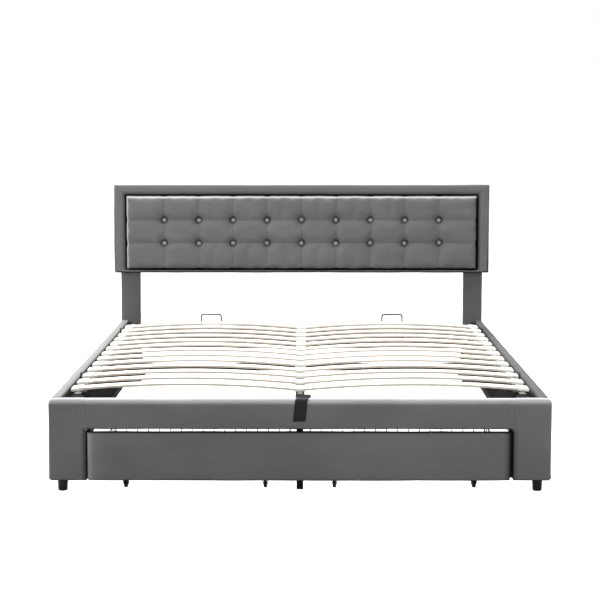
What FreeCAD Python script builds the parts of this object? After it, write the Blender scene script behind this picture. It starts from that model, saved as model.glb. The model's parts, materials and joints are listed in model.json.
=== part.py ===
import FreeCAD, Part
import math
import os

import Sketcher

# A lift-up storage bed with an upholstered headboard and a drawer that carries two wire baskets.
#
# Millimetres, +Z up, the foot of the bed towards -Y. The origin is on the floor, under the
# middle of the whole bed. Along the bed, sizes are counted back from the front face of the
# foot board, which stands at the derived value "front".

# The driving dimensions: alias and value, and what each one is.
DIMENSIONS = {
    # the whole bed
    "bed_width": 1620,  # over the two side rails
    "bed_length": 2200,  # from the front of the foot board to the bolt heads behind the legs
    "rail_top": 303,
    "rail_bottom": 40,
    "rail_width": 37,
    "foot_depth": 50,
    "edge_round": 11,
    "cover": 5,  # foam and fabric over a board
    "play": 0.5,  # room left round a piece that sits inside another
    "lining_thickness": 1.5,
    "lining_gap": 2,
    "lining_bottom": 70,
    "lining_top": 290,
    # the opening in the foot board, and the drawer front in it
    "opening_half": 687,
    "opening_top": 208,
    "drawer_half": 681,
    "drawer_top": 197,
    "drawer_depth": 26,
    # the headboard on its two legs
    "head_width": 1660,
    "board_inset": 1,
    "head_bottom": 522,
    "head_top": 913,
    "head_front": 2095,
    "head_board_front": 2137,
    "head_back": 2155,
    "pad_half": 775,
    "pad_bottom": 538,
    "pad_top": 863,
    "pad_proud": 2,
    "button_radius": 11,
    "button_pitch": 152,
    "button_low": 654,
    "button_rise": 102,
    "button_depth": 5,
    "leg_inner": 722,
    "leg_outer": 808,
    "leg_back": 2196,
    "leg_top": 870,
    "glide": 4,
    "bolt_head": 4,
    "bolt_1": 120,
    "bolt_2": 240,
    "bolt_3": 600,
    "bolt_4": 800,
    # feet and the centre support
    "foot_radius": 17,
    "foot_taper": 2,
    "foot_x": 770,
    "foot_y": 42,
    "post": 22,
    "post_y": 52,
    "post_top": 262,
    # angle plates in the corners and the rests of the lift frame
    "foot_bracket_low": 110,
    "foot_bracket_high": 250,
    "head_bracket_low": 60,
    "head_bracket_high": 180,
    "bracket_arm": 75,
    "bolt_share": 0.7,  # a bolt's place along the arm
    "rest_arm": 45,
    "foot_rest_start": 560,
    "foot_rest_end": 640,
    "side_rest_start": 1040,
    "side_rest_end": 1120,
    # steel plates, tubes and their walls
    "plate": 4,
    "wall": 1.5,
    "tube_bottom": 267,
    "tube_top": 292,
    "side_tube_inner": 713,
    "side_tube_outer": 754,
    "centre_tube_half": 15,
    "frame_front": 65,
    "frame_back": 2070,
    "bar_width": 40,
    "bar_2": 868,
    "bar_3": 1480,
    "bar_4": 1905,
    # the hinge of the lift frame
    "pivot_y": 2100,
    "pivot_z": 277,
    "pin_radius": 5,
    "running": 0.08,  # radial room of a pin in a hole that turns on it
    "hinge_low": 195,
    "hinge_front": 40,
    "hinge_behind": 50,
    "hinge_rise": 18,
    "pin_head_radius": 8,
    "spacer_front": 25,
    "spacer_behind": 35,
    "spacer_z": 215,
    "hinge_arm_radius": 15,
    "hinge_arm_length": 90,
    "cross_tube_front": 12,
    "cross_tube_back": 47,
    "cross_tube_bottom": 200,
    "cross_tube_top": 240,
    # gas struts: the low end on the rail, the high end on the lift frame
    "strut_x": 693,
    "strut_low_y": 1950,
    "strut_low_z": 77,
    "strut_high_y": 1750,
    "strut_high_z": 262,
    "strut_radius": 11,
    "strut_stroke": 150,
    "case_start": 8,
    "case_end": 70,  # without the stroke, counted from the low eye
    "case_cap": 6,
    "piston_start": 50,
    "piston_end": 60,
    "rod_radius": 4,
    "eye_half": 6,
    "rod_eye_half": 5,
    "stud_reach": 16,
    "stub_start": 13,
    "stub_plate_half": 35,
    "stub_plate_below": 29,
    "stub_plate_above": 45,
    "blade_start": 12,
    "blade_half": 25,
    "blade_below": 20,
    "packer_height": 14,
    "open_pivot_radius": 10.4,
    # slats and their holders
    "slat_count": 13,
    "slat_first": 175,
    "slat_pitch": 137.9,
    "slat_width": 53,
    "slat_thick": 8,
    "slat_low": 303,
    "slat_rise": 19,
    "slat_inner": 3,
    "slat_outer": 755,
    "holder_inner": 718,
    "holder_outer": 758,
    "holder_half": 21,
    "holder_top": 319,
    "holder_lip": 3,
    # wire hoops and tabs that keep the mattress in place
    "hoop_x": 400,
    "hoop_half": 45,
    "hoop_y": 2055,
    "hoop_top": 345,
    "hoop_bend": 11,
    "hoop_wire": 3,
    "tab_width": 28,
    "tab_top": 330,
    "tab_first": 402,
    "tab_second": 1636,
    # the pull strap
    "strap_width": 38,
    "strap_x": 6,
    "strap_thick": 3,
    "strap_gap": 1,
    "strap_end": 234,
    "strap_bend": 10,
    "strap_grip": 38,  # how far it lies on the foot crossbar
    "strap_slope": 6,
    "strap_shoulder": 4,
    "strap_shear": 1,
    # wire baskets on castors
    "basket_inner": 32,
    "basket_outer": 636,
    "basket_front": 30,
    "basket_back": 375,
    "basket_floor": 45,
    "basket_top": 165,
    "wire": 3,
    "clip_inner": 150,
    "clip_outer": 500,
    "clip_width": 40,
    "clip_height": 45,
    "mesh_wide": 16,
    "mesh_deep": 6,
    "mesh_high": 3,
    "wheel_radius": 15,
    "wheel_width": 12,
    "axle_radius": 2,
    "fork_half_depth": 9,
    "fork_bottom": 8,
    "fork_roof": 2,
    "cheek_room": 1,
    "castor_inner": 113,
    "castor_outer": 569,
    "castor_front": 85,
    "castor_back": 330,
}

# Values worked out from the driving dimensions, in the same words.
DERIVED = {
    "front": "(strap_gap + strap_thick - bed_length) / 2",
    "half_width": "bed_width / 2",
    "rail_inner": "bed_width / 2 - rail_width",
    "lined": "bed_width / 2 - rail_width - lining_thickness",
    "head_half": "head_width / 2",
    "slat_span": "slat_outer - slat_inner",
    "slat_radius": "(slat_span ^ 2 / 4 + slat_rise ^ 2) / (2 * slat_rise)",
}

doc = FreeCAD.newDocument("StorageBed")
sheet = doc.addObject("Spreadsheet::Sheet", "Dimensions")
for row, (alias, size) in enumerate(DIMENSIONS.items(), start=1):
    sheet.set(f"A{row}", alias)
    sheet.set(f"B{row}", str(size))
    sheet.setAlias(f"B{row}", alias)
doc.recompute()


def expand(text):
    """An expression that FreeCAD can read, from one written in the words of the sheet."""
    words, word = [], ""
    for character in f"{text} ":
        if character.isalnum() or character == "_":
            word += character
            continue
        if word in DERIVED:
            words.append(f"({expand(DERIVED[word])})")
        elif word in DIMENSIONS:
            words.append(f"Dimensions.{word}")
        else:
            words.append(word)
        words.append(character)
        word = ""
    return "".join(words).strip()


def number(text):
    """What an expression in the words of the sheet comes to."""
    return float(sheet.evalExpression(expand(text)))


def bind(thing, **sizes):
    """Binds properties to expressions. Two underscores in a name stand for a full stop."""
    for name, text in sizes.items():
        thing.setExpression(name.replace("__", "."), expand(text))


def along(text):
    """A distance behind the front of the foot board, as a coordinate."""
    return f"front + ({text})"


# ---- sketches and PartDesign bodies ----


def origin_part(body, role):
    return [item for item in body.Origin.OriginFeatures if item.Role == role][0]


def arc_middle(start, end, radius):
    """The middle point of an arc. A positive radius turns left on the way, a negative one right."""
    chord = end - start
    middle = (start + end) * 0.5
    rise = abs(radius) - math.sqrt(max(radius**2 - chord.Length**2 / 4, 0))
    right = FreeCAD.Vector(chord.y, -chord.x, 0).normalize()
    return middle + right * math.copysign(rise, radius)


def draw(sketch, corners, closed=True):
    """Draws lines and arcs through corners (u, v) or (u, v, radius of the arc to the next one)."""
    first = sketch.GeometryCount
    points = [FreeCAD.Vector(number(corner[0]), number(corner[1]), 0) for corner in corners]
    count = len(corners) if closed else len(corners) - 1
    for index in range(count):
        start, end = points[index], points[(index + 1) % len(points)]
        if len(corners[index]) == 3:
            middle = arc_middle(start, end, number(corners[index][2]))
            sketch.addGeometry(Part.Arc(start, middle, end), False)
        else:
            sketch.addGeometry(Part.LineSegment(start, end), False)
    for index in range(count):
        edge = first + index
        begin = start_of(sketch, edge, points[index])
        for kind, coordinate in (("DistanceX", corners[index][0]), ("DistanceY", corners[index][1])):
            fixed = sketch.addConstraint(
                Sketcher.Constraint(kind, -1, 1, edge, begin, number(coordinate))
            )
            sketch.setExpression(f"Constraints[{fixed}]", expand(coordinate))
        if closed or index + 1 < count:
            follower = first + (index + 1) % count
            meets = start_of(sketch, follower, points[(index + 1) % len(points)])
            sketch.addConstraint(Sketcher.Constraint("Coincident", edge, 3 - begin, follower, meets))
        if len(corners[index]) == 3:
            radius = abs(number(corners[index][2]))
            bent = sketch.addConstraint(Sketcher.Constraint("Radius", edge, radius))
            sign = "-" if number(corners[index][2]) < 0 else ""
            sketch.setExpression(f"Constraints[{bent}]", expand(f"{sign}({corners[index][2]})"))
    if not closed:
        last = first + count - 1
        end = 3 - start_of(sketch, last, points[count - 1])
        for kind, coordinate in (("DistanceX", corners[-1][0]), ("DistanceY", corners[-1][1])):
            fixed = sketch.addConstraint(
                Sketcher.Constraint(kind, -1, 1, last, end, number(coordinate))
            )
            sketch.setExpression(f"Constraints[{fixed}]", expand(coordinate))


def start_of(sketch, edge, point):
    """1 or 2: the end of the edge that lies at the point. An arc may run the other way."""
    return 1 if sketch.getPoint(edge, 1).distanceToPoint(point) < 1e-6 else 2


def sketch_on(body, role, offset):
    """A sketch on one of the body's own planes, moved along that plane's normal."""
    sketch = body.newObject("Sketcher::SketchObject", f"{body.Name}_sketch")
    sketch.AttachmentSupport = (origin_part(body, role), [""])
    sketch.MapMode = "FlatFace"
    sketch.setExpression("AttachmentOffset.Base.z", expand(offset))
    return sketch


def add_pad(body, role, outlines, span):
    """Adds a prism: outlines on a plane, and its span along the third axis."""
    low, high = span
    offset = f"-({high})" if role == "XZ_Plane" else low  # the XZ plane's normal is -Y
    sketch = sketch_on(body, role, offset)
    for outline in outlines:
        draw(sketch, outline)
    pad = body.newObject("PartDesign::Pad", f"{body.Name}_pad")
    pad.Profile = sketch
    bind(pad, Length=f"({high}) - ({low})")
    body.Tip = pad


def prism(label, role, outlines, span):
    body = doc.addObject("PartDesign::Body", label)
    body.AllowCompound = True
    add_pad(body, role, outlines, span)
    return body


def rectangle(u, v):
    return [(u[0], v[0]), (u[1], v[0]), (u[1], v[1]), (u[0], v[1])]


def repeat(body, axis, count, step):
    """Repeats the body's last feature in a row."""
    original = body.Tip
    pattern = body.newObject("PartDesign::LinearPattern", f"{body.Name}_row")
    pattern.Originals = [original]
    pattern.Direction = (origin_part(body, axis), [""])
    bind(pattern, Length=f"({step}) * ({count} - 1)", Occurrences=count)
    body.Tip = pattern
    return body


def round_edges(body, radius, wanted):
    """Rounds the edges of a body whose middle point is wanted."""
    doc.recompute()
    base = body.Tip
    names = [
        f"Edge{index}"
        for index, edge in enumerate(base.Shape.Edges, start=1)
        if wanted(edge, edge.CenterOfMass)
    ]
    fillet = body.newObject("PartDesign::Fillet", f"{body.Name}_round")
    fillet.Base = (base, names)
    bind(fillet, Radius=radius)
    body.Tip = fillet
    return body


# ---- Part primitives and booleans ----


def block(label, x, y, z):
    """A box between three spans."""
    box = doc.addObject("Part::Box", label)
    bind(
        box,
        Length=f"({x[1]}) - ({x[0]})",
        Width=f"({y[1]}) - ({y[0]})",
        Height=f"({z[1]}) - ({z[0]})",
        Placement__Base__x=x[0],
        Placement__Base__y=y[0],
        Placement__Base__z=z[0],
    )
    return box


TURNS = {
    "X": FreeCAD.Rotation(FreeCAD.Vector(0, 1, 0), 90),
    "Y": FreeCAD.Rotation(FreeCAD.Vector(1, 0, 0), -90),
    "Z": FreeCAD.Rotation(),
}


def disc(label, axis, centre, span, radius):
    """A cylinder along an axis. The centre gives the other two coordinates, in X, Y, Z order."""
    cylinder = doc.addObject("Part::Cylinder", label)
    cylinder.Placement = FreeCAD.Placement(FreeCAD.Vector(), TURNS[axis])
    place = list(centre)
    place.insert("XYZ".index(axis), span[0])
    bind(
        cylinder,
        Radius=radius,
        Height=f"({span[1]}) - ({span[0]})",
        Placement__Base__x=place[0],
        Placement__Base__y=place[1],
        Placement__Base__z=place[2],
    )
    return cylinder


def minus(label, base, tools):
    cut = doc.addObject("Part::Cut", label)
    cut.Base = base
    cut.Tool = tools[0] if len(tools) == 1 else plus(f"{label}_tools", tools)
    return cut


def plus(label, members):
    fused = doc.addObject("Part::MultiFuse", label)
    fused.Shapes = members
    return fused


def group(label, members):
    """Separate solids that make one node."""
    compound = doc.addObject("Part::Compound", label)
    compound.Links = members
    return compound


def mirrored(label, source):
    """The same piece on the other side of the bed."""
    copy = doc.addObject("Part::Mirroring", label)
    copy.Source = source
    copy.Normal = (1, 0, 0)
    return copy


def tube(label, x, y, z, open_axis):
    """A rectangular steel tube, open at both ends."""
    outer = block(f"{label}_outside", x, y, z)
    inside = []
    for axis, (low, high) in zip("XYZ", (x, y, z)):
        wall = "-1" if axis == open_axis else "wall"
        inside.append((f"({low}) + {wall}", f"({high}) - ({wall})"))
    return minus(label, outer, [block(f"{label}_inside", *inside)])


nodes = []


def keep(*made):
    """Marks sub-parts that are written out."""
    nodes.extend(made)


# ---- headboard ----


def make_headboard():
    back = (along("head_board_front"), along("head_back"))
    board_width = ("board_inset - head_half", "head_half - board_inset")
    board_height = ("head_bottom + board_inset", "head_top - board_inset")
    keep(block("headboard_board", board_width, back, board_height))
    outer = rectangle(("-head_half", "head_half"), ("head_bottom", "head_top"))
    inner = rectangle(("-pad_half", "pad_half"), ("pad_bottom", "pad_top"))
    depth = (along("head_front"), along("head_board_front"))
    border = prism("headboard_border", "XZ_Plane", [outer, inner], depth)
    face = number(depth[0])

    def outer_front(edge, middle):
        beyond = abs(middle.x) > number("pad_half") + 1 or not (
            number("pad_bottom") - 1 < middle.z < number("pad_top") + 1
        )
        return beyond and abs(middle.y - face) < 0.01

    keep(round_edges(border, "edge_round", outer_front))
    pad_outline = rectangle(
        ("play - pad_half", "pad_half - play"), ("pad_bottom + play", "pad_top - play")
    )
    pad_depth = (along("head_front - pad_proud"), along("head_board_front"))
    pad = prism("headboard_pad", "XZ_Plane", [pad_outline], pad_depth)
    keep(round_edges(pad, "edge_round", lambda edge, middle: abs(middle.y - number(pad_depth[0])) < 0.01))
    make_buttons()


def make_buttons():
    """Two rows of nine covered buttons on the front of the pad."""
    span = (
        along("head_front - pad_proud - button_depth"),
        along("head_front - pad_proud"),
    )
    members = []
    for row in range(2):
        for column in range(-4, 5):
            centre = (f"{column} * button_pitch", f"button_low + {row} * button_rise")
            members.append(disc(f"button_{row}_{column + 4}", "Y", centre, span, "button_radius"))
    keep(group("headboard_buttons", members))


def make_headboard_legs():
    leg = block(
        "headboard_leg_right",
        ("leg_inner", "leg_outer"),
        (along("head_back"), along("leg_back")),
        ("glide", "leg_top"),
    )
    keep(leg, mirrored("headboard_leg_left", leg))
    middle_x = "(leg_inner + leg_outer) / 2"
    middle_y = along("(head_back + leg_back) / 2")
    bolts, glides = [], []
    for side in (-1, 1):
        x = f"{side} * {middle_x}"
        centre = (x, middle_y)
        glide = disc(f"leg_glide_{side + 1}", "Z", centre, ("0", "glide"), "foot_radius - foot_taper")
        glides.append(glide)
        for level, height in enumerate(("bolt_1", "bolt_2", "bolt_3", "bolt_4")):
            span = (along("leg_back"), along("leg_back + bolt_head"))
            bolts.append(disc(f"leg_bolt_{side + 1}_{level}", "Y", (x, height), span, "bolt_head * 2"))
    glides.append(
        block(
            "post_glide",
            ("-post / 2", "post / 2"),
            (along("post_y"), along("post_y + post")),
            ("0", "glide"),
        )
    )
    keep(group("headboard_bolts", bolts), group("leg_glides", glides))


# ---- side rails and foot board ----


def make_side_rails():
    length = (along("foot_depth + play"), along("head_back - play"))
    outer = rectangle(("rail_inner", "half_width"), ("rail_bottom", "rail_top"))
    inner = rectangle(
        ("rail_inner + cover", "half_width - cover"),
        ("rail_bottom + cover", "rail_top - cover"),
    )
    cover = prism("side_rail_cover_right", "XZ_Plane", [outer, inner], length)
    top = number("rail_top")
    outside = number("half_width")

    def rounded(edge, middle):
        runs_along = abs(edge.BoundBox.YLength - edge.Length) < 0.01
        return runs_along and (abs(middle.z - top) < 0.01 or abs(middle.x - outside) < 0.01)

    keep(round_edges(cover, "edge_round", rounded))
    keep(mirrored("side_rail_cover_left", cover))
    board = block(
        "side_rail_board_right",
        ("rail_inner + cover + play", "half_width - cover - play"),
        length,
        ("rail_bottom + cover + play", "rail_top - cover - play"),
    )
    keep(group("side_rail_boards", [board, mirrored("side_rail_board_left", board)]))
    lining = block(
        "rail_lining_right",
        ("lined", "rail_inner"),
        (along("foot_depth + lining_gap"), along("head_back - lining_gap")),
        ("lining_bottom", "lining_top"),
    )
    keep(group("rail_linings", [lining, mirrored("rail_lining_left", lining)]))


def make_foot_board():
    """The cross rail over the drawer and the two corner posts, each with its own cover."""
    depth = (along("0"), along("foot_depth"))
    inside = (along("cover"), along("foot_depth - cover"))
    board_depth = (along("cover + play"), along("foot_depth - cover - play"))
    span = ("play - opening_half", "opening_half - play")
    cover = prism(
        "foot_cover_center",
        "YZ_Plane",
        [
            rectangle(depth, ("opening_top", "rail_top")),
            rectangle(inside, ("opening_top + cover", "rail_top - cover")),
        ],
        span,
    )
    corners = [(number(y), number(z)) for y in depth for z in ("opening_top", "rail_top")]

    def outer_corner(edge, middle):
        lengthwise = abs(edge.BoundBox.XLength - edge.Length) < 0.01
        return lengthwise and any(
            math.hypot(middle.y - y, middle.z - z) < 0.01 for y, z in corners
        )

    keep(round_edges(cover, "edge_round", outer_corner))
    board_height = ("opening_top + cover + play", "rail_top - cover - play")
    keep(block("foot_cross_board", span, board_depth, board_height))
    post = prism(
        "foot_cover_right",
        "XY_Plane",
        [
            rectangle(("opening_half", "half_width"), depth),
            rectangle(("opening_half + cover", "half_width - cover"), inside),
        ],
        ("rail_bottom", "rail_top - cover"),
    )
    add_pad(
        post,
        "XY_Plane",
        [rectangle(("opening_half", "half_width"), depth)],
        ("rail_top - cover", "rail_top"),
    )
    outside = number("half_width")
    face = number(depth[0])
    top = number("rail_top")

    def post_edges(edge, middle):
        on_top = abs(middle.z - top) < 0.01 and middle.x > number("opening_half") + 1
        upright = abs(middle.x - outside) < 0.01 and abs(middle.y - face) < 0.01
        return on_top or upright

    keep(round_edges(post, "edge_round", post_edges))
    keep(mirrored("foot_cover_left", post))
    post_board = block(
        "foot_post_board_right",
        ("opening_half + cover + play", "half_width - cover - play"),
        board_depth,
        ("rail_bottom", "rail_top - cover - play"),
    )
    keep(group("foot_post_boards", [post_board, mirrored("foot_post_board_left", post_board)]))
    foot = doc.addObject("Part::Cone", "front_foot_right")
    bind(
        foot,
        Radius1="foot_radius - foot_taper",
        Radius2="foot_radius",
        Height="rail_bottom",
        Placement__Base__x="foot_x",
        Placement__Base__y=along("foot_y"),
    )
    keep(group("front_feet", [foot, mirrored("front_foot_left", foot)]))


# ---- steel fittings of the base ----


def angle_outline(corner, arms, thickness):
    """An L of two arms that start at a corner. An arm's sign says which way it runs."""
    (u, v), (arm_u, arm_v) = corner, arms
    across = f"{'-' if arm_u.startswith('-') else ''}{thickness}"
    up = f"{'-' if arm_v.startswith('-') else ''}{thickness}"
    return [
        (u, v),
        (f"{u} + ({arm_u})", v),
        (f"{u} + ({arm_u})", f"{v} + ({up})"),
        (f"{u} + ({across})", f"{v} + ({up})"),
        (f"{u} + ({across})", f"{v} + ({arm_v})"),
        (u, f"{v} + ({arm_v})"),
    ]


def make_corner_brackets():
    """Four angle plates that join the rails to the foot posts and to the headboard legs."""
    corners = {
        "foot": (along("foot_depth + play"), "bracket_arm", ("foot_bracket_low", "foot_bracket_high")),
        "head": (along("head_back - play"), "-bracket_arm", ("head_bracket_low", "head_bracket_high")),
    }
    brackets, bolts = [], []
    for name, (y, arm, height) in corners.items():
        outline = angle_outline(("lined", y), ("-rest_arm", arm), "plate")
        bracket = prism(f"corner_bracket_{name}_right", "XY_Plane", [outline], height)
        brackets += [bracket, mirrored(f"corner_bracket_{name}_left", bracket)]
        for level in ("1", "3"):
            z = f"({height[0]}) + {level} * ({height[1]} - {height[0]}) / 4"
            span = ("lined - 2 * plate", "lined - plate")
            centre = (f"{y} + bolt_share * ({arm})", z)
            bolt = disc(f"corner_bolt_{name}_{level}_right", "X", centre, span, "2 * plate")
            bolts += [bolt, mirrored(f"corner_bolt_{name}_{level}_left", bolt)]
    keep(group("corner_brackets", brackets), group("bracket_bolts", bolts))


def make_centre_support():
    leg = tube(
        "center_leg",
        ("-post / 2", "post / 2"),
        (along("post_y"), along("post_y + post")),
        ("glide", "post_top"),
        "Z",
    )
    keep(leg)
    shelf = ("tube_bottom - play - plate", "tube_bottom - play")
    cap = block(
        "leg_cap",
        ("-post", "post"),
        (along("foot_depth"), along("post_y + post + plate")),
        ("post_top", "tube_bottom - play"),
    )
    rests = [cap]
    outline = angle_outline((along("foot_depth"), shelf[1]), ("rest_arm", "-rest_arm"), "plate")
    foot_rest = prism("foot_rest_right", "YZ_Plane", [outline], ("foot_rest_start", "foot_rest_end"))
    outline = angle_outline(("lined", shelf[1]), ("-(rest_arm + 5)", "-rest_arm"), "plate")
    side_span = (along("side_rest_start"), along("side_rest_end"))
    side_rest = prism("side_rest_right", "XZ_Plane", [outline], side_span)
    for rest in (foot_rest, side_rest):
        rests += [rest, mirrored(rest.Name.replace("right", "left"), rest)]
    keep(group("frame_rests", rests))


def make_hinges():
    """Plates on the rails hold a pin each, and arms on the lift frame turn on the pins."""
    pivot = (along("pivot_y"), "pivot_z")
    plate_span = ("side_tube_outer + 2 * plate", "side_tube_outer + 3 * plate")
    plate = block(
        "hinge_plate_blank",
        plate_span,
        (along("pivot_y - hinge_front"), along("pivot_y + hinge_behind")),
        ("hinge_low", "pivot_z + hinge_rise"),
    )
    before, behind = along("pivot_y - spacer_front"), along("pivot_y + spacer_behind")
    places = [(before, "spacer_z"), (behind, "spacer_z"), (behind, "pivot_z")]
    spacers = [
        disc(f"hinge_spacer_{index}", "X", place, (plate_span[1], "lined"), "2 * plate")
        for index, place in enumerate(places)
    ]
    hole = disc("hinge_plate_hole", "X", pivot, ("side_tube_outer", "half_width"), "pin_radius + running / 2")
    right = minus("hinge_plate_right", plus("hinge_plate_solid", [plate, *spacers]), [hole])
    keep(group("hinge_plates", [right, mirrored("hinge_plate_left", right)]))
    shank = disc("pin_shank", "X", pivot, ("side_tube_outer - play", plate_span[1]), "pin_radius")
    head_span = ("side_tube_outer - play - plate", "side_tube_outer - play")
    head = disc("pin_head", "X", pivot, head_span, "pin_head_radius")
    pin = plus("hinge_pin_right", [shank, head])
    keep(group("hinge_pins", [pin, mirrored("hinge_pin_left", pin)]))
    end = "hinge_arm_radius"
    arm_start = along("frame_back - hinge_arm_length")
    arm_outline = [
        (arm_start, f"pivot_z - {end}"),
        (along("pivot_y"), f"pivot_z - {end}", end),
        (along(f"pivot_y + {end}"), "pivot_z", end),
        (along("pivot_y"), f"pivot_z + {end}"),
        (arm_start, f"pivot_z + {end}"),
    ]
    arm = prism("hinge_arm_blank", "YZ_Plane", [arm_outline], ("side_tube_outer", "side_tube_outer + plate"))
    hole = disc(
        "hinge_arm_hole", "X", pivot, ("side_tube_outer - 5", "half_width"), "pin_radius + running"
    )
    right = minus("hinge_arm_right", arm, [hole])
    keep(group("hinge_arms", [right, mirrored("hinge_arm_left", right)]))
    keep(
        tube(
            "head_cross_tube",
            (f"-({plate_span[0]})", plate_span[0]),
            (along("pivot_y + cross_tube_front"), along("pivot_y + cross_tube_back")),
            ("cross_tube_bottom", "cross_tube_top"),
            "X",
        )
    )


# ---- gas struts ----


def make_struts():
    """A cylinder that turns on a stub on the rail, and a rod whose stud stands in a wide hole."""
    low = FreeCAD.Vector(0, number("strut_low_y"), number("strut_low_z"))
    high = FreeCAD.Vector(0, number("strut_high_y"), number("strut_high_z"))
    length = (high - low).Length
    lean = math.degrees(math.atan2(low.y - high.y, high.z - low.z))
    stub_span = ("strut_x + stub_start", "lined")
    for side in ("right", "left"):
        sign = 1 if side == "right" else -1
        place = FreeCAD.Placement(
            FreeCAD.Vector(sign * number("strut_x"), number(along("strut_low_y")), low.z),
            FreeCAD.Rotation(FreeCAD.Vector(1, 0, 0), lean),
        )
        low_end, high_end = ("0", "0"), ("0", f"{length}")
        barrel_span = ("case_start", "case_end + strut_stroke")
        bore_span = ("case_start + case_cap", "case_end + strut_stroke - case_cap")
        gland_span = ("piston_end + strut_stroke", "case_end + strut_stroke + 1")
        eye = disc(f"strut_eye_{side}", "X", low_end, ("-eye_half", "eye_half"), "strut_radius - 1")
        barrel = disc(f"strut_barrel_{side}", "Z", low_end, barrel_span, "strut_radius")
        bore = disc(f"strut_bore_{side}", "Z", low_end, bore_span, "strut_radius - 2")
        gland = disc(f"strut_gland_{side}", "Z", low_end, gland_span, "rod_radius + running")
        hole_span = ("-eye_half - 1", "eye_half + 1")
        eye_hole = disc(f"strut_eye_hole_{side}", "X", low_end, hole_span, "rod_radius + running")
        case = plus(f"strut_case_{side}", [eye, barrel])
        cylinder = minus(f"strut_cylinder_{side}", case, [bore, gland, eye_hole])
        cylinder.Placement = place
        shaft_span = ("piston_end", f"{length} - rod_radius")
        piston_span = ("piston_start", "piston_end")
        rod = disc(f"rod_shaft_{side}", "Z", low_end, shaft_span, "rod_radius")
        piston = disc(f"rod_piston_{side}", "Z", low_end, piston_span, "strut_radius - 2 - play")
        rod_eye_span = ("-rod_eye_half", "rod_eye_half")
        rod_eye = disc(f"rod_eye_{side}", "X", high_end, rod_eye_span, "strut_radius - 2")
        stud_span = ("0", "stud_reach") if side == "right" else ("-stud_reach", "0")
        stud = disc(f"rod_stud_{side}", "X", high_end, stud_span, "rod_radius")
        moving = plus(f"strut_rod_{side}", [rod, piston, rod_eye, stud])
        moving.Placement = place
        keep(cylinder, moving)
    foot_plate = block(
        "stub_plate",
        ("lined - plate", "lined"),
        (along("strut_low_y - stub_plate_half"), along("strut_low_y + stub_plate_half")),
        ("strut_low_z - stub_plate_below", "strut_low_z + stub_plate_above"),
    )
    centre = (along("strut_low_y"), "strut_low_z")
    stub = disc("stub_tube", "X", centre, stub_span, "strut_radius - 2")
    stud_span = ("strut_x - strut_radius + 2", stub_span[1])
    stud = disc("stub_stud", "X", centre, stud_span, "rod_radius")
    right = plus("strut_stub_right", [foot_plate, stub, stud])
    keep(group("strut_base_brackets", [right, mirrored("strut_stub_left", right)]))
    y = (along("strut_high_y - blade_half"), along("strut_high_y + blade_half"))
    blade_span = ("strut_x + blade_start", "strut_x + blade_start + plate")
    blade = block("frame_blade", blade_span, y, ("strut_high_z - blade_below", "tube_top"))
    packer_height = ("tube_top - packer_height", "tube_top")
    packer = block("frame_packer", (blade_span[1], "side_tube_inner"), y, packer_height)
    high_end = (along("strut_high_y"), "strut_high_z")
    hole_span = (f"{blade_span[0]} - 1", f"{blade_span[1]} + 1")
    wide_hole = disc("frame_hole", "X", high_end, hole_span, "open_pivot_radius")
    right = minus("frame_bracket_right", plus("frame_bracket_solid", [blade, packer]), [wide_hole])
    keep(group("strut_frame_brackets", [right, mirrored("frame_bracket_left", right)]))


# ---- lift frame ----


def make_lift_frame():
    height = ("tube_bottom", "tube_top")
    length = (along("frame_front"), along("frame_back"))
    side = tube("lift_side_tube_right", ("side_tube_inner", "side_tube_outer"), length, height, "Y")
    keep(side, mirrored("lift_side_tube_left", side))
    keep(tube("lift_center_tube", ("-centre_tube_half", "centre_tube_half"), length, height, "Y"))
    starts = {
        "foot": "frame_front",
        "second": "bar_2",
        "third": "bar_3",
        "fourth": "bar_4",
        "head": "frame_back - bar_width",
    }
    halves = {}
    for name, start in starts.items():
        half = tube(
            f"crossbar_{name}_right",
            ("centre_tube_half", "side_tube_inner"),
            (along(start), along(f"{start} + bar_width")),
            height,
            "X",
        )
        halves[name] = [half, mirrored(f"crossbar_{name}_left", half)]
    keep(group("lift_crossbar_foot", halves["foot"]), group("lift_crossbar_head", halves["head"]))
    keep(group("lift_crossbars_middle", halves["second"] + halves["third"] + halves["fourth"]))


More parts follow.
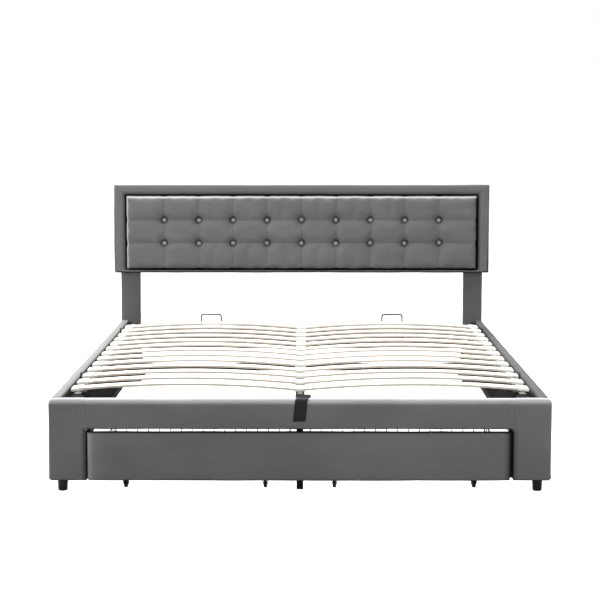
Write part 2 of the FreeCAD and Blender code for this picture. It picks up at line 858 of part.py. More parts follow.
def make_slats():
    """Thirteen rows of two arched slats, in sockets over the side tubes and the centre tube."""
    first = (along("slat_first"), along("slat_first + slat_width"))
    bottom, top = "slat_low", "slat_low + slat_thick"
    outline = [
        ("slat_inner", bottom, "-slat_radius"),
        ("slat_outer", bottom),
        ("slat_outer", top, "slat_radius"),
        ("slat_inner", top),
    ]
    slats = prism("slats_right", "XZ_Plane", [outline], first)
    repeat(slats, "Y_Axis", "slat_count", "slat_pitch")
    keep(slats, mirrored("slats_left", slats))
    outside = (along("slat_first - holder_lip"), along("slat_first + slat_width + holder_lip"))
    slot = (bottom, "holder_top - holder_lip")
    # In section a socket is a floor and a roof with a wall at the slat's end.
    x = ("holder_inner", "holder_outer")
    c_outline = [
        (x[0], "tube_top"),
        (x[1], "tube_top"),
        (x[1], "holder_top"),
        (x[0], "holder_top"),
        (x[0], slot[1]),
        ("slat_outer + play", slot[1]),
        ("slat_outer + play", f"{slot[0]} - play"),
        (x[0], f"{slot[0]} - play"),
    ]
    sockets = prism("slat_holders_right", "XZ_Plane", [c_outline], outside)
    repeat(sockets, "Y_Axis", "slat_count", "slat_pitch")
    keep(group("slat_holders_outer", [sockets, mirrored("slat_holders_left", sockets)]))
    rib = "slat_inner - play"
    h_outline = [
        ("-holder_half", "tube_top"),
        ("holder_half", "tube_top"),
        ("holder_half", f"{slot[0]} - play"),
        (rib, f"{slot[0]} - play"),
        (rib, slot[1]),
        ("holder_half", slot[1]),
        ("holder_half", "holder_top"),
        ("-holder_half", "holder_top"),
        ("-holder_half", slot[1]),
        (f"-({rib})", slot[1]),
        (f"-({rib})", f"{slot[0]} - play"),
        ("-holder_half", f"{slot[0]} - play"),
    ]
    sockets = prism("slat_holders_center", "XZ_Plane", [h_outline], outside)
    keep(repeat(sockets, "Y_Axis", "slat_count", "slat_pitch"))


def make_stops():
    """Two wire hoops behind the mattress, and four tabs beside it."""
    body = doc.addObject("PartDesign::Body", "hoop_right")
    left, right = "hoop_x - hoop_half", "hoop_x + hoop_half"
    shoulder = "hoop_top - hoop_wire - hoop_bend"
    crown = "hoop_top - hoop_wire"
    spine = sketch_on(body, "XZ_Plane", f"-({along('hoop_y')})")
    path = [
        (left, "tube_top"),
        (left, shoulder, "-hoop_bend"),
        (f"{left} + hoop_bend", crown),
        (f"{right} - hoop_bend", crown, "-hoop_bend"),
        (right, shoulder),
        (right, "tube_top"),
    ]
    draw(spine, path, closed=False)
    section = sketch_on(body, "XY_Plane", "tube_top")
    centre = FreeCAD.Vector(number(left), number(along("hoop_y")), 0)
    section.addGeometry(Part.Circle(centre, FreeCAD.Vector(0, 0, 1), number("hoop_wire")), False)
    section.addConstraint(Sketcher.Constraint("Radius", 0, number("hoop_wire")))
    section.setExpression("Constraints[0]", expand("hoop_wire"))
    for kind, text in (("DistanceX", left), ("DistanceY", along("hoop_y"))):
        fixed = section.addConstraint(Sketcher.Constraint(kind, -1, 1, 0, 3, number(text)))
        section.setExpression(f"Constraints[{fixed}]", expand(text))
    doc.recompute()
    pipe = body.newObject("PartDesign::AdditivePipe", "hoop_pipe")
    pipe.Profile = section
    pipe.Spine = (spine, [f"Edge{index + 1}" for index in range(len(path) - 1)])
    body.Tip = pipe
    keep(group("mattress_stops", [body, mirrored("hoop_left", body)]))
    tabs = []
    for name in ("tab_first", "tab_second"):
        tab = block(
            f"{name}_right",
            ("side_tube_outer", "side_tube_outer + plate"),
            (along(name), along(f"{name} + tab_width")),
            ("tube_bottom", "tab_top"),
        )
        tabs += [tab, mirrored(f"{name}_left", tab)]
    keep(group("side_stops", tabs))


def make_strap():
    """Flat webbing from the foot crossbar, over the foot board and down its front."""
    low, thick, bend = "rail_top + strap_gap", "strap_thick", "strap_bend"
    face = along("-strap_gap")
    turn = along("strap_bend - strap_gap")
    bar = along("frame_front + strap_grip")
    foot = along("frame_front - strap_slope")
    shoulder = along("foot_depth - strap_shoulder")
    under = [
        (bar, "tube_top"),
        (foot, "tube_top"),
        (shoulder, low),
        (turn, low, bend),
        (face, f"{low} - {bend}"),
        (face, "strap_end"),
    ]
    over = [
        (f"{face} - {thick}", "strap_end"),
        (f"{face} - {thick}", f"{low} - {bend}", f"-({bend} + {thick})"),
        (turn, f"{low} + {thick}"),
        (f"{shoulder} + strap_shear", f"{low} + {thick}"),
        (f"{foot} + strap_shear", f"tube_top + {thick}"),
        (bar, f"tube_top + {thick}"),
    ]
    span = ("strap_x - strap_width / 2", "strap_x + strap_width / 2")
    keep(prism("pull_strap", "YZ_Plane", [under + over], span))


# ---- drawer ----


def make_drawer_front():
    span = ("-drawer_half", "drawer_half")
    depth = (along("0"), along("drawer_depth"))
    cover = prism(
        "drawer_front_cover",
        "YZ_Plane",
        [
            rectangle(depth, ("rail_bottom", "drawer_top")),
            rectangle(
                (along("cover"), along("drawer_depth - cover")),
                ("rail_bottom + cover", "drawer_top - cover"),
            ),
        ],
        span,
    )
    face = number(depth[0])

    def front_corner(edge, middle):
        lengthwise = abs(edge.BoundBox.XLength - edge.Length) < 0.01
        return lengthwise and abs(middle.y - face) < 0.01

    keep(round_edges(cover, "edge_round / 2", front_corner))
    keep(
        block(
            "drawer_front_board",
            span,
            (along("cover + play"), along("drawer_depth - cover - play")),
            ("rail_bottom + cover + play", "drawer_top - cover - play"),
        )
    )


def mesh_panel(label, role, u, v, span, cells):
    """A flat panel of square wires. The counts of cells are along u and along v."""
    body = doc.addObject("PartDesign::Body", label)
    body.AllowCompound = True
    axes = {
        "XY_Plane": ("X_Axis", "Y_Axis"),
        "XZ_Plane": ("X_Axis", "Z_Axis"),
        "YZ_Plane": ("Y_Axis", "Z_Axis"),
    }
    for index, count in enumerate(cells):
        along_u = index == 0
        first = (u[0], f"{u[0]} + wire") if along_u else u
        second = v if along_u else (v[0], f"{v[0]} + wire")
        add_pad(body, role, [rectangle(first, second)], span)
        low, high = u if along_u else v
        step = f"(({high}) - ({low}) - wire) / {count}"
        repeat(body, axes[role][index], f"{count} + 1", step)
    return body


def make_baskets():
    """Each basket is five flat panels: a floor, a front, a back and two sides."""
    x = ("basket_inner", "basket_outer")
    y = (along("basket_front"), along("basket_back"))
    floor = ("basket_floor", "basket_floor + wire")
    high = ("basket_floor + wire", "basket_top")
    inner_y = (f"{y[0]} + wire", f"{y[1]} - wire")
    near, far = (x[0], f"{x[0]} + wire"), (f"{x[1]} - wire", x[1])
    across, deep = ("mesh_wide", "mesh_high"), ("mesh_deep", "mesh_high")
    panels = [
        mesh_panel("basket_floor_right", "XY_Plane", x, y, floor, ("mesh_wide", "mesh_deep")),
        mesh_panel("basket_front_right", "XZ_Plane", x, high, (y[0], inner_y[0]), across),
        mesh_panel("basket_back_right", "XZ_Plane", x, high, (inner_y[1], y[1]), across),
        mesh_panel("basket_near_right", "YZ_Plane", inner_y, high, near, deep),
        mesh_panel("basket_far_right", "YZ_Plane", inner_y, high, far, deep),
    ]
    right = group("basket_right", panels)
    keep(right, mirrored("basket_left", right))
    clips = []
    for index, x in enumerate(("clip_inner", "clip_outer")):
        clip = block(
            f"clip_{index}_right",
            (f"{x} - clip_width / 2", f"{x} + clip_width / 2"),
            (along("drawer_depth"), along("basket_front")),
            ("basket_top - clip_height", "basket_top"),
        )
        clips += [clip, mirrored(f"clip_{index}_left", clip)]
    keep(group("basket_clips", clips))


def make_castors():
    """Fixed castors under the baskets: a fork and an axle each, and a wheel that turns on it."""
    forks, axles = [], []
    cheek = "wheel_width / 2 + cheek_room"
    for side, sign in (("left", -1), ("right", 1)):
        for end in ("front", "back"):
            for place in ("inner", "outer"):
                name = f"{side}_{end}_{place}"
                x = f"{sign} * castor_{place}"
                y = along(f"castor_{end}")
                centre = (y, "wheel_radius")
                outside = (f"{x} - ({cheek} + wall)", f"{x} + ({cheek} + wall)")
                through = (f"{x} - 2 * wheel_width", f"{x} + 2 * wheel_width")
                deep = (f"{y} - fork_half_depth", f"{y} + fork_half_depth")
                blank = block(f"fork_blank_{name}", outside, deep, ("fork_bottom", "basket_floor"))
                gap = block(
                    f"fork_gap_{name}",
                    (f"{x} - ({cheek})", f"{x} + {cheek}"),
                    (f"{deep[0]} - 1", f"{deep[1]} + 1"),
                    ("0", "basket_floor - fork_roof"),
                )
                hole = disc(f"fork_hole_{name}", "X", centre, through, "axle_radius")
                forks.append(minus(f"fork_{name}", blank, [gap, hole]))
                axles.append(disc(f"axle_{name}", "X", centre, outside, "axle_radius"))
                half = "wheel_width / 2"
                span = (f"{x} - {half}", f"{x} + {half}")
                rim = disc(f"rim_{name}", "X", centre, span, "wheel_radius")
                bore = disc(f"bore_{name}", "X", centre, through, "axle_radius + running")
                keep(minus(f"castor_wheel_{name}", rim, [bore]))
    keep(group("castor_forks", forks), group("castor_axles", axles))


# ---- the whole bed ----


def check(objects):
    """Stops if an object failed or a sub-part has no sound shape."""
    for thing in doc.Objects:
        if any(word in state for state in thing.State for word in ("Invalid", "Error")):
            raise RuntimeError(f"{thing.Label} failed: {thing.State}")
    for thing in objects:
        shape = thing.Shape
        if shape.isNull() or not shape.isValid() or not shape.Solids:
            raise RuntimeError(f"{thing.Label} has no sound shape")


def main():
    make_headboard()
    make_headboard_legs()
    make_side_rails()
    make_foot_board()
    make_corner_brackets()
    make_centre_support()
    make_hinges()
    make_struts()
    make_lift_frame()
    make_slats()
    make_stops()
    make_strap()
    make_drawer_front()
    make_baskets()
    make_castors()
    doc.recompute()
    check(nodes)
    os.makedirs("parts", exist_ok=True)
    for thing in nodes:
        thing.Shape.exportStep(f"parts/{thing.Label}.step")
        box = thing.Shape.BoundBox
        low = f"{box.XMin:8.1f} {box.YMin:8.1f} {box.ZMin:6.1f}"
        high = f"{box.XMax:8.1f} {box.YMax:8.1f} {box.ZMax:6.1f}"
        print(f"{thing.Label:26s} {len(thing.Shape.Solids):3d} solids  from {low}  to {high}")
    print(f"{len(nodes)} nodes")


main()
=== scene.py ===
import bmesh
import bpy
import json
import math
import random
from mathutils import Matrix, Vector, noise


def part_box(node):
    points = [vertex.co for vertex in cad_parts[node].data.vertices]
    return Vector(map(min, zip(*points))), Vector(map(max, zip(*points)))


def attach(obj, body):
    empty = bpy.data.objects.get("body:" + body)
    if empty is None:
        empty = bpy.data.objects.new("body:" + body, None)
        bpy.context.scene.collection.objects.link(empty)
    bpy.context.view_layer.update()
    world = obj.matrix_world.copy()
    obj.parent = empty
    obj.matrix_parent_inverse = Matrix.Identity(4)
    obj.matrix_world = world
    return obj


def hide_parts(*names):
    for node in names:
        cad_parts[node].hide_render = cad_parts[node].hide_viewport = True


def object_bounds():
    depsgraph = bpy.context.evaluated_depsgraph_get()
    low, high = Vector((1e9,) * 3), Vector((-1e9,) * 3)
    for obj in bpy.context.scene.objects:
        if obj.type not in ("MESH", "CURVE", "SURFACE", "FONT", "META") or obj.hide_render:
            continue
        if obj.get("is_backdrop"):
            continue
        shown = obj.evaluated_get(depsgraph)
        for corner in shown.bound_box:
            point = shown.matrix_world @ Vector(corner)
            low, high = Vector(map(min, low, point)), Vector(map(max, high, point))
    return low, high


# The looks of a lift-up storage bed: metres, +Z up, the foot of the bed towards -Y.

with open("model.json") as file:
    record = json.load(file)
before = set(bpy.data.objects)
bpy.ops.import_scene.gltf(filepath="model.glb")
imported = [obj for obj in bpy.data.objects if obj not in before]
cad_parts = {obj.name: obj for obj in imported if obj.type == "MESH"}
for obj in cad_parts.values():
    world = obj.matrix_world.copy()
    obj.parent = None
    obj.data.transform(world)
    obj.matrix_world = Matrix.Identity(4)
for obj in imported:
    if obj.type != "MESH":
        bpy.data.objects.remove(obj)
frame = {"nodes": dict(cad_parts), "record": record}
cad_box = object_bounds()
MM = 0.001
# From this painted light value up, faces take the darker velvet without sheen: painted shade.
PAINTED_SHADE_FROM = 0.5  # the nap from which velvet has no sheen
SIDES = {"left": -1, "right": 1}
random.seed(7)


# ---- camera, lights and floor ----


def make_camera():
    """A long lens, far in front of the foot board and a little above the headboard."""
    data = bpy.data.cameras.new("camera")
    data.sensor_width = 36
    data.lens = 100.3
    data.clip_end = 100
    camera = bpy.data.objects.new("camera", data)
    across, before, height = 0.020, 5.293, 1.194
    downward, leftward = 6.13, 0.21
    camera.location = (across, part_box("foot_cover_center")[0].y - before, height)
    camera.rotation_euler = (math.radians(90 - downward), 0, math.radians(leftward))
    bpy.context.collection.objects.link(camera)
    bpy.context.scene.camera = camera


def area_light(name, place, target, size, power):
    data = bpy.data.lights.new(name, "AREA")
    data.shape = "RECTANGLE"
    data.size, data.size_y = size
    data.energy = power
    light = bpy.data.objects.new(name, data)
    light.location = place
    direction = Vector(target) - Vector(place)
    light.rotation_euler = direction.to_track_quat("-Z", "Y").to_euler()
    light.visible_camera = False
    bpy.context.collection.objects.link(light)


def camera_share(tree, seen, elsewhere):
    """A strength that differs for what the lens sees directly and for the light that is cast."""
    path = tree.nodes.new("ShaderNodeLightPath")
    scale = tree.nodes.new("ShaderNodeMath")
    scale.operation = "MULTIPLY_ADD"
    scale.inputs[1].default_value = seen - elsewhere
    scale.inputs[2].default_value = elsewhere
    tree.links.new(path.outputs["Is Camera Ray"], scale.inputs[0])
    return scale.outputs["Value"]


def make_studio():
    """A white sweep under a large overhead softbox, with light from behind and from the left."""
    scene = bpy.context.scene
    scene.view_settings.view_transform = "Standard"
    world = bpy.data.worlds.new("studio")
    scene.world = world
    world.use_nodes = True
    tree = world.node_tree
    background = tree.nodes["Background"]
    background.inputs["Color"].default_value = (1, 1, 1, 1)
    tree.links.new(camera_share(tree, 1.0, 0.4), background.inputs["Strength"])
    area_light("top_softbox", (-0.5, 0.9, 3.4), (0, 0.6, 0.3), (4.2, 4.0), 420)
    area_light("back_softbox", (-2.4, 5.6, 5.2), (0, -0.8, 0.3), (3.4, 2.0), 560)
    area_light("left_softbox", (-5.2, -0.4, 1.9), (0, 0.2, 0.5), (2.0, 2.4), 110)
    area_light("front_fill", (2.4, -6.0, 2.4), (0, 0, 0.4), (2.5, 2.0), 190)
    bpy.ops.mesh.primitive_plane_add(size=60, location=(0, 0, 0))
    floor = bpy.context.object
    floor.name = "floor"
    finish = Finish("studio_floor", (0.55,) * 3, 0.9, 0.0)
    finish.inputs["Emission Color"].default_value = (1, 1, 1, 1)
    finish.links.new(camera_share(finish, 1.0, 0.0), finish.inputs["Emission Strength"])
    floor.data.materials.append(finish.material)
    floor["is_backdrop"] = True


# ---- materials ----


class Finish:
    """A material being made: its principled shader and the textures that feed it."""

    def __init__(self, name, colour, roughness, gloss=None):
        self.material = bpy.data.materials.new(name)
        self.material.use_nodes = True
        self.nodes, self.links = self.material.node_tree.nodes, self.material.node_tree.links
        self.inputs = self.nodes["Principled BSDF"].inputs
        self.inputs["Base Color"].default_value = (*colour, 1)
        self.inputs["Roughness"].default_value = roughness
        if gloss is not None:
            self.inputs["Specular IOR Level"].default_value = gloss

    def texture(self, kind, scale, detail=2.0, stretch=(1, 1, 1), source="Object"):
        """A texture in the piece's own coordinates, stretched along the axes."""
        place = self.nodes.new("ShaderNodeTexCoord")
        mapping = self.nodes.new("ShaderNodeMapping")
        mapping.inputs["Scale"].default_value = stretch
        made = self.nodes.new(f"ShaderNodeTex{kind}")
        made.inputs["Scale"].default_value = scale
        if "Detail" in made.inputs:
            made.inputs["Detail"].default_value = detail
        self.links.new(place.outputs[source], mapping.inputs["Vector"])
        self.links.new(mapping.outputs["Vector"], made.inputs["Vector"])
        return made

    def noise(self, scale, detail=2.0, stretch=(1, 1, 1)):
        return self.texture("Noise", scale, detail, stretch).outputs["Fac"]

    def ramp(self, source, low, high, spread=(0.35, 0.65)):
        """A colour that runs from low to high as the source does."""
        made = self.nodes.new("ShaderNodeValToRGB")
        for stop, position, colour in zip(made.color_ramp.elements, spread, (low, high)):
            stop.position, stop.color = position, (*colour, 1)
        self.links.new(source, made.inputs["Fac"])
        return made.outputs["Color"]

    def mix(self, first, second, share=None):
        """Two colours multiplied or, with a share for the second, blended."""
        made = self.nodes.new("ShaderNodeMix")
        made.data_type = "RGBA"
        if share is None:
            made.blend_type = "MULTIPLY"
            made.inputs["Factor"].default_value = 1
        else:
            self.links.new(share, made.inputs["Factor"])
        self.links.new(first, made.inputs["A"])
        self.links.new(second, made.inputs["B"])
        return made.outputs["Result"]

    def colour(self, source):
        self.links.new(source, self.inputs["Base Color"])

    def bumps(self, *layers):
        """Bump from several textures: (socket, strength, depth in metres) each."""
        normal = None
        for socket, strength, depth in layers:
            bump = self.nodes.new("ShaderNodeBump")
            bump.inputs["Strength"].default_value = strength
            bump.inputs["Distance"].default_value = depth
            self.links.new(socket, bump.inputs["Height"])
            if normal is not None:
                self.links.new(normal, bump.inputs["Normal"])
            normal = bump.outputs["Normal"]
        self.links.new(normal, self.inputs["Normal"])


def toned(colour, share):
    """A lighter or darker shade of a colour."""
    return tuple(part * share for part in colour)


def velvet(name, shade, sheen):
    """Short-pile velvet: mottled where the pile leans, with a soft sheen at grazing angles.

    The points' "painted_light" attribute paints light and shade into the colour: 1 is painted shade, as in a
    seam or a gap, and -1 a painted highlight, as on an edge that faces the light. A piece without it has 0
    all over.
    """
    finish = Finish(name, (shade,) * 3, 0.75, 0.15)
    lean = finish.noise(5, 4, (1, 1, 2.2))
    pile = finish.noise(420, 3)
    weave = finish.noise(150, 2, (0.25, 0.25, 3))
    lightest = 4.0
    dark, light = shade * lightest * 0.92, shade * lightest * 1.08
    tone = finish.ramp(lean, (dark,) * 3, (light, light * 0.985, light))
    grain = finish.ramp(pile, (0.84,) * 3, (1,) * 3)
    painted_light = finish.nodes.new("ShaderNodeAttribute")
    painted_light.attribute_name = "painted_light"
    centred = finish.nodes.new("ShaderNodeMath")
    centred.operation = "MULTIPLY_ADD"
    centred.inputs[1].default_value = centred.inputs[2].default_value = 0.5
    finish.links.new(painted_light.outputs["Fac"], centred.inputs[0])
    # Painted light and shade from the attribute: up to four times lighter towards -1, nearly black towards 1.
    painted_tone = finish.ramp(centred.outputs["Value"], (1,) * 3, (0.02,) * 3, (0, 1))
    painted_tone.node.color_ramp.elements.new(0.5).color = (*(1 / lightest,) * 3, 1)
    finish.colour(finish.mix(finish.mix(tone, grain), painted_tone))
    finish.inputs["Sheen Weight"].default_value = sheen
    finish.inputs["Sheen Roughness"].default_value = 0.38
    finish.inputs["Sheen Tint"].default_value = (1.0, 0.99, 1.0, 1)
    finish.bumps((lean, 0.25, 0.004), (weave, 0.12, 0.0006), (pile, 0.2, 0.0004))
    return finish.material


def birch(name):
    """Clear-coated bent birch: long grain on the top face, darker plies on the edges and the underside,
    partly the plies' own tone and partly painted shade.

    The UV map runs along the slat and through its plies, from 0 at the underside to 1 on top.
    """
    finish = Finish(name, (0.92, 0.88, 0.81), 0.45)
    grain = finish.noise(26, 8, (0.6, 9, 9))
    streak = finish.noise(7, 3, (0.5, 5, 1))
    plies = finish.texture("Wave", 2.1, 1, (0, 1, 0), "UV")
    plies.wave_type, plies.bands_direction = "BANDS", "Y"
    plies.inputs["Distortion"].default_value = 0.4
    fine = finish.ramp(grain, (0.80, 0.73, 0.63), (0.91, 0.87, 0.81), (0.28, 0.55))
    broad = finish.ramp(streak, (0.94, 0.92, 0.88), (1, 1, 1))
    plies_and_painted_shade = finish.ramp(plies.outputs["Fac"], (0.52, 0.42, 0.33), (0.74, 0.64, 0.54), (0.1, 0.6))
    place_uv = finish.nodes.new("ShaderNodeTexCoord")
    split = finish.nodes.new("ShaderNodeSeparateXYZ")
    finish.links.new(place_uv.outputs["UV"], split.inputs["Vector"])
    top = finish.ramp(split.outputs["Y"], (0, 0, 0), (1, 1, 1), (0.93, 0.985))
    # Only the top takes the pale face colour; the edges and the underside take the darker ply colour, partly
    # painted shade on the faces turned from the overhead light.
    finish.colour(finish.mix(plies_and_painted_shade, finish.mix(fine, broad), top))
    finish.inputs["Coat Weight"].default_value = 0.2
    finish.inputs["Coat Roughness"].default_value = 0.3
    finish.bumps((grain, 0.12, 0.0004))
    return finish.material


def plastic(name, colour, roughness):
    """Moulded plastic with a fine spark-eroded skin."""
    finish = Finish(name, colour, roughness, 0.3)
    finish.colour(finish.ramp(finish.noise(14, 3), toned(colour, 0.94), colour))
    finish.bumps((finish.noise(900, 2), 0.12, 0.0002))
    return finish.material


def powder_coat(name, colour, roughness, gloss):
    """Powder-coated steel: orange peel, and a slightly mottled tone."""
    finish = Finish(name, colour, roughness, gloss)
    finish.colour(finish.ramp(finish.noise(9, 4), toned(colour, 0.8), toned(colour, 1.25)))
    finish.bumps((finish.noise(320, 2), 0.16, 0.0003))
    return finish.material


def bare_steel(name, colour, roughness):
    finish = Finish(name, colour, roughness)
    finish.inputs["Metallic"].default_value = 1
    brushed = finish.noise(60, 4, (1, 12, 12))
    finish.colour(finish.ramp(brushed, toned(colour, 0.85), colour))
    finish.bumps((brushed, 0.1, 0.0002))
    return finish.material


def woven(name, colour, threads):
    """A coarse woven cloth of crossed threads, in the piece's UV map, in metres."""
    finish = Finish(name, colour, 0.85, 0.15)
    warp = finish.texture("Wave", threads, 0, (1, 0, 0), "UV")
    weft = finish.texture("Wave", threads, 0, (0, 1, 0), "UV")
    warp.bands_direction, weft.bands_direction = "X", "Y"
    across, along = warp.outputs["Fac"], weft.outputs["Fac"]
    tone = finish.ramp(across, toned(colour, 0.55), colour, (0.1, 0.9))
    finish.colour(finish.mix(tone, finish.ramp(along, (0.7,) * 3, (1,) * 3, (0.1, 0.9))))
    finish.bumps((across, 0.4, 0.0004), (along, 0.4, 0.0004), (finish.noise(300, 2), 0.1, 0.0002))
    return finish.material


def felt(name, colour):
    """Non-woven lining, pressed in small dots."""
    finish = Finish(name, colour, 0.9, 0.1)
    dots = finish.texture("Voronoi", 380).outputs["Distance"]
    fibres = finish.noise(160, 4, (1, 3, 1))
    finish.colour(finish.ramp(fibres, toned(colour, 0.6), colour))
    finish.bumps((dots, 0.3, 0.0003), (fibres, 0.2, 0.0003))
    return finish.material


def chipboard(name):
    finish = Finish(name, (0.5, 0.36, 0.22), 0.7)
    chips = finish.texture("Voronoi", 90, 2, (1, 1, 2)).outputs["Distance"]
    tone = finish.ramp(finish.noise(20, 5), (0.42, 0.29, 0.17), (0.6, 0.46, 0.3))
    finish.colour(finish.mix(tone, finish.ramp(chips, (0.8,) * 3, (1,) * 3, (0.0, 0.6))))
    finish.bumps((chips, 0.2, 0.0005))
    return finish.material


# Each material's maker and what it is told after the name.
FINISHES = {
    # Lit and shaded copies of the velvet: the left rail lighter with more sheen, the right rail darker with
    # less, as painted light and shade.
    "velvet_rail_left": (velvet, 0.1, 0.42),
    "velvet_rail_right": (velvet, 0.055, 0.12),
    # A darker copy of the velvet without sheen, for painted shade.
    "velvet_pressed": (velvet, 0.08, 0.0),
    "velvet": (velvet, 0.1, 1.0),
    # A lighter copy of the velvet for the buttons: painted highlight.
    "velvet_button": (velvet, 0.21, 1.0),
    "birch": (birch,),
    "ivory_plastic": (plastic, (0.86, 0.85, 0.77), 0.38),
    "black_plastic": (plastic, (0.006, 0.006, 0.007), 0.5),
    "black_steel": (powder_coat, (0.007, 0.007, 0.008), 0.55, 0.15),
    "black_wire": (powder_coat, (0.002, 0.002, 0.002), 0.7, 0.02),
    "zinc": (bare_steel, (0.62, 0.62, 0.6), 0.35),
    "rod_steel": (bare_steel, (0.75, 0.75, 0.77), 0.12),
    "webbing": (woven, (0.022, 0.022, 0.024), 160),
    "lining": (felt, (0.008, 0.0075, 0.007)),
    "board": (chipboard,),
}
made_materials = {}


def material_for(name):
    if name not in made_materials:
        maker, *values = FINISHES[name]
        made_materials[name] = maker(name, *values)
    return made_materials[name]


# ---- mesh helpers ----


def add_mesh(name, points, faces, smooth=True):
    mesh = bpy.data.meshes.new(name)
    mesh.from_pydata([tuple(p) for p in points], [], faces)
    mesh.validate()
    made = bpy.data.objects.new(name, mesh)
    bpy.context.collection.objects.link(made)
    cleaned = bmesh.new()
    cleaned.from_mesh(mesh)
    bmesh.ops.remove_doubles(cleaned, verts=cleaned.verts, dist=1e-6)
    bmesh.ops.recalc_face_normals(cleaned, faces=cleaned.faces)
    cleaned.to_mesh(mesh)
    cleaned.free()
    for face in mesh.polygons:
        face.use_smooth = smooth
    return made


def lay_painted_light(piece, painted_light_values):
    """Writes the painted light and shade at each point of a piece."""
    layer = piece.data.attributes.new("painted_light", "FLOAT", "POINT")
    for item, value in zip(layer.data, painted_light_values):
        item.value = value


def lay_map(piece, name, places):
    """Writes a UV map that gives each point its place."""
    layer = piece.data.uv_layers.new(name=name)
    for loop in piece.data.loops:
        layer.data[loop.index].uv = places[loop.vertex_index] if loop.vertex_index < len(places) else (0, 0)


def paint_shaded_faces(piece):
    """Faces painted past the threshold take a darker copy of the velvet without sheen, as painted shade."""
    layer = piece.data.attributes["painted_light"].data
    piece.data.materials.append(material_for("velvet_pressed"))
    for face in piece.data.polygons:
        if sum(layer[k].value for k in face.vertices) > PAINTED_SHADE_FROM * len(face.vertices):
            face.material_index = 1


def place(piece, body, slot, *replaced, finish=None):
    """Gives a piece its material, its body and the CAD nodes that it stands for."""
    piece.data.materials.clear()
    piece.data.materials.append(material_for(finish or slot))
    # Faces in deep painted shade get the darker velvet without sheen.
    if piece.type == "MESH" and "painted_light" in piece.data.attributes:
        paint_shaded_faces(piece)
    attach(piece, body)
    if replaced:
        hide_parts(*replaced)


def joined(name, parts):
    """One object from several."""
    first = parts[0]
    if len(parts) > 1:
        with bpy.context.temp_override(active_object=first, selected_editable_objects=parts, object=first):
            bpy.ops.object.join()
    first.name = name
    return first


def bevel(piece, width):
    made = piece.modifiers.new("edges", "BEVEL")
    made.width = width
    made.segments = 2
    made.limit_method = "ANGLE"
    made.angle_limit = math.radians(40)


def band(before, after):
    """Faces between two closed rows of points, given by the points' numbers."""
    pairs = [(k, (k + 1) % len(before)) for k in range(len(before))]
    return [(before[k], before[beyond], after[beyond], after[k]) for k, beyond in pairs]


def skin(rows, count, first=0):
    """Faces between one closed row of count points and the next, for all rows."""
    starts = range(first, first + (rows - 1) * count, count)
    bands = [band(range(a, a + count), range(a + count, a + 2 * count)) for a in starts]
    return [face for faces in bands for face in faces]


def sheet_faces(columns, rows):
    """Faces of a sheet whose points lie row by row."""
    corners = [row * columns + k for row in range(rows - 1) for k in range(columns - 1)]
    return [(k, k + 1, k + columns + 1, k + columns) for k in corners]


def spread(low, high, step):
    """Evenly spaced values from low to high, both ends in, about step apart."""
    count = max(1, round((high - low) / step))
    return [low + (high - low) * index / count for index in range(count + 1)]


def ring_of(low, high, radii, step):
    """Points and outward normals round a rectangle with four corner radii.

    low and high are the corners (u, v). The radii go round from (low u, low v) to (high u, low v),
    (high u, high v) and (low u, high v).
    """
    fine = 4 * MM  # corners rounder than this have more points
    arcs = []
    corners = ((low, low, 180), (high, low, 270), (high, high, 0), (low, high, 90))
    for (at_u, at_v, start), radius in zip(corners, radii):
        centre_u = at_u[0] + (radius if at_u is low else -radius)
        centre_v = at_v[1] + (radius if at_v is low else -radius)
        turns = 6 if radius > fine else 3
        angles = [math.radians(start + 90 * turn / turns) for turn in range(turns + 1)]
        normals = [(math.cos(angle), math.sin(angle)) for angle in angles]
        arcs.append([((centre_u + radius * n[0], centre_v + radius * n[1]), n) for n in normals])
    ring = []
    for arc, following in zip(arcs, arcs[1:] + arcs[:1]):
        (begin, normal), finish = arc[-1], following[0][0]
        ring += arc
        for share in spread(0, 1, step / max(math.dist(begin, finish), step))[1:-1]:
            ring.append((tuple(begin[k] + (finish[k] - begin[k]) * share for k in (0, 1)), normal))
    return [point for point, _ in ring], [normal for _, normal in ring]


ORDER = {"X": (1, 2, 0), "Y": (0, 2, 1), "Z": (0, 1, 2)}


def turned(axis, a, b, at):
    """The point at (a, b) across an axis and at a place along it."""
    point = [0, 0, 0]
    for k, value in zip(ORDER[axis], (a, b, at)):
        point[k] = value
    return point


